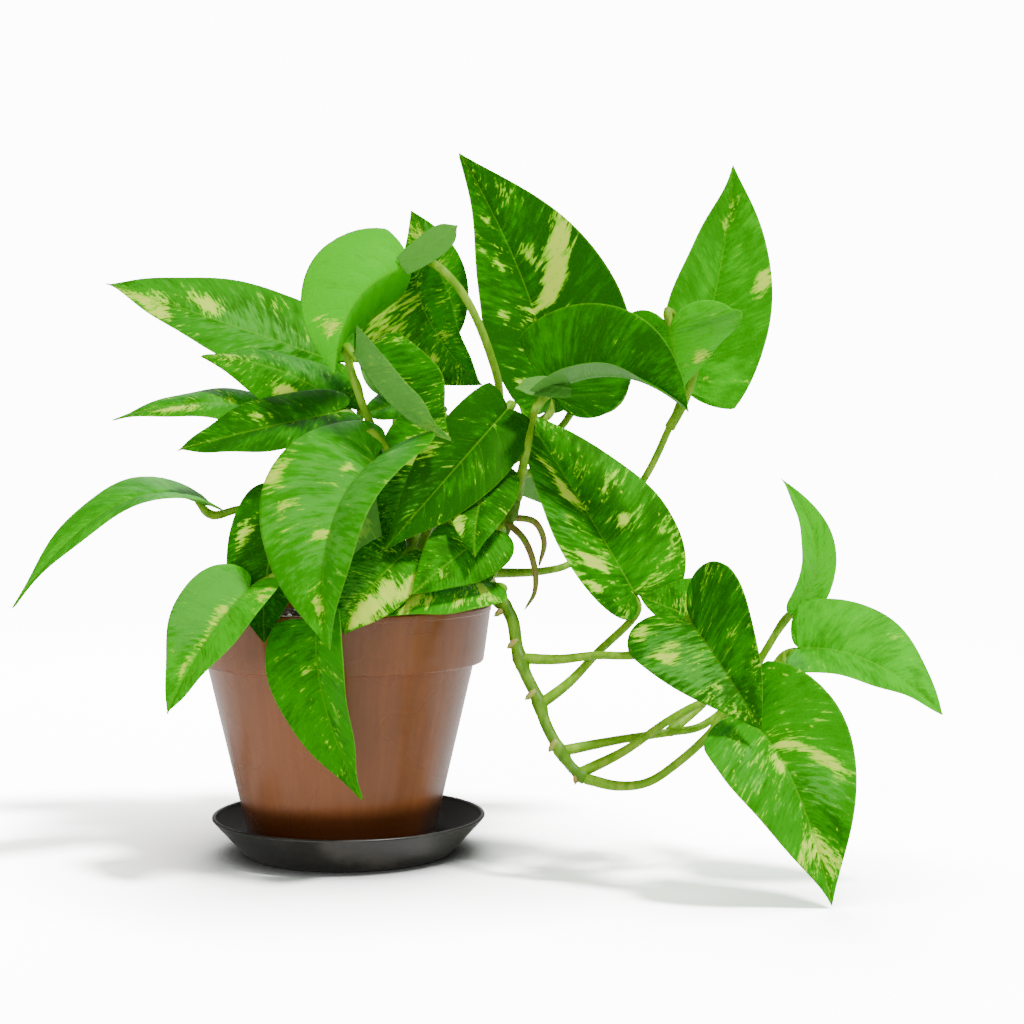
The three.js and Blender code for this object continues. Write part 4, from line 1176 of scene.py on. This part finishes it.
# Lamps, camera and distances in the studio are in metres.
WORLD_LIGHT = 0.2
WORLD_SEEN = 13
FLOOR_REACH = 60
FLOOR_GREY = (0.8, 0.8, 0.8)
FLOOR_GLOW = 8
FLOOR_FADE = (0.45, 1.3)
# painted contact shade on the floor: how far it reaches, how strongly it darkens, and its samples
PAINTED_SHADE_REACH = 0.12
PAINTED_SHADE_POWER = 2.5
PAINTED_SHADE_SAMPLES = 12

SUN_PLACE = (0.42, -0.36, 1)
SUN_POWER = 4.3
SUN_ANGLE = math.radians(9)
PLANT = (0.05, 0, 0.13)
POT = (0, 0, 0.06)
# Area lamps: name, place, what they face, power, width and height.
LAMPS = [
    ("front", (-0.5, -1.5, 0.55), PLANT, 9, 0.9, 0.7),
    ("back", (0.0, 1.2, 1.0), PLANT, 8, 0.9, 0.6),
    ("strip_left", (-0.75, -0.75, 0.3), POT, 0.6, 0.08, 0.8),
    ("strip_right", (0.9, -0.25, 0.3), POT, 1.6, 0.1, 0.8),
]

PHOTO_PIXELS = 1024
FOCAL_PIXELS = 2000
SENSOR_WIDTH = 36
CAMERA_PLACE = (0.071, -0.828, 0.1743)
CAMERA_DIP = 2.3


def floor_material():
    """A matte floor that the camera sees as bright as an overexposed studio sweep, with painted
    contact shade near whatever stands on or over it.
    """
    n = new_material("studio_floor")
    plain = n.add("BsdfDiffuse", {"Color": FLOOR_GREY})
    # painted contact shade: ambient occlusion darkens the floor the camera sees near the pot,
    # saucer and leaves
    painted_shade_openness = n.add("AmbientOcclusion", {"Distance": PAINTED_SHADE_REACH}, out="AO",
                     samples=PAINTED_SHADE_SAMPLES)
    glow_with_painted_shade = n.times(n.math("POWER", painted_shade_openness, PAINTED_SHADE_POWER), FLOOR_GLOW)
    bright = n.add("BsdfDiffuse", {"Color": n.vector(glow_with_painted_shade, glow_with_painted_shade, glow_with_painted_shade)})
    # further out the floor fades into the white of the background
    place = n.place()
    far = n.add("VectorMath", {0: place}, out="Value", operation="LENGTH")
    white = n.add("Emission", {"Color": (1, 1, 1), "Strength": WORLD_SEEN})
    bright = n.add("MixShader", {0: n.ramp(far, *FLOOR_FADE), 1: bright, 2: white})
    return n.blend(n.add("LightPath", out="Is Camera Ray"), plain, bright)


def make_floor():
    low, high = -FLOOR_REACH, FLOOR_REACH
    corners = [(low, low, 0), (high, low, 0), (high, high, 0), (low, high, 0)]
    mesh = mesh_of("studio_floor", corners, [[0, 1, 2, 3]], smooth=False)
    mesh.materials.append(floor_material())
    link("studio_floor", mesh)


def make_lamp(name, kind, place, target, power, **shape):
    light = bpy.data.lights.new(name, kind)
    light.energy = power
    for key, value in shape.items():
        setattr(light, key, value)
    lamp = link(name, light)
    lamp.location = place
    lamp.rotation_euler = (Vector(target) - Vector(place)).to_track_quat("-Z", "Y").to_euler()


def make_world():
    """White as the camera sees it, and a soft light for the plant."""
    n = Nodes(bpy.data.worlds.new("studio"), "World")
    around, seen = (n.add("Background", {"Color": (1, 1, 1), "Strength": strength})
                    for strength in (WORLD_LIGHT, WORLD_SEEN))
    bpy.context.scene.world = n.blend(n.add("LightPath", out="Is Camera Ray"), around, seen)


def make_camera():
    camera = bpy.data.cameras.new("photo_camera")
    camera.sensor_width = SENSOR_WIDTH
    camera.lens = SENSOR_WIDTH * FOCAL_PIXELS / PHOTO_PIXELS
    holder = link("photo_camera", camera)
    holder.location = CAMERA_PLACE
    holder.rotation_euler = (math.radians(90 - CAMERA_DIP), 0, 0)
    bpy.context.scene.camera = holder


# ---- the whole

make_camera()
make_floor()
make_lamp("key", "SUN", SUN_PLACE, (0, 0, 0), SUN_POWER, angle=SUN_ANGLE)
for lamp, place, target, power, width, height in LAMPS:
    make_lamp(lamp, "AREA", place, target, power, shape="RECTANGLE", size=width, size_y=height)
make_world()
make_saucer(saucer_material())
make_pot(pot_material())
make_soil(soil_material(), grain_material(*BARK_LOOK), grain_material(*PERLITE_LOOK))
living_stem = stem_material()
for stem_name, stem_parts in STEMS.items():
    make_stem(stem_name, stem_parts, living_stem)
variegated = leaf_material()
for leaf_number in LEAVES:
    make_leaf(leaf_number, variegated)

bpy.context.view_layer.update()
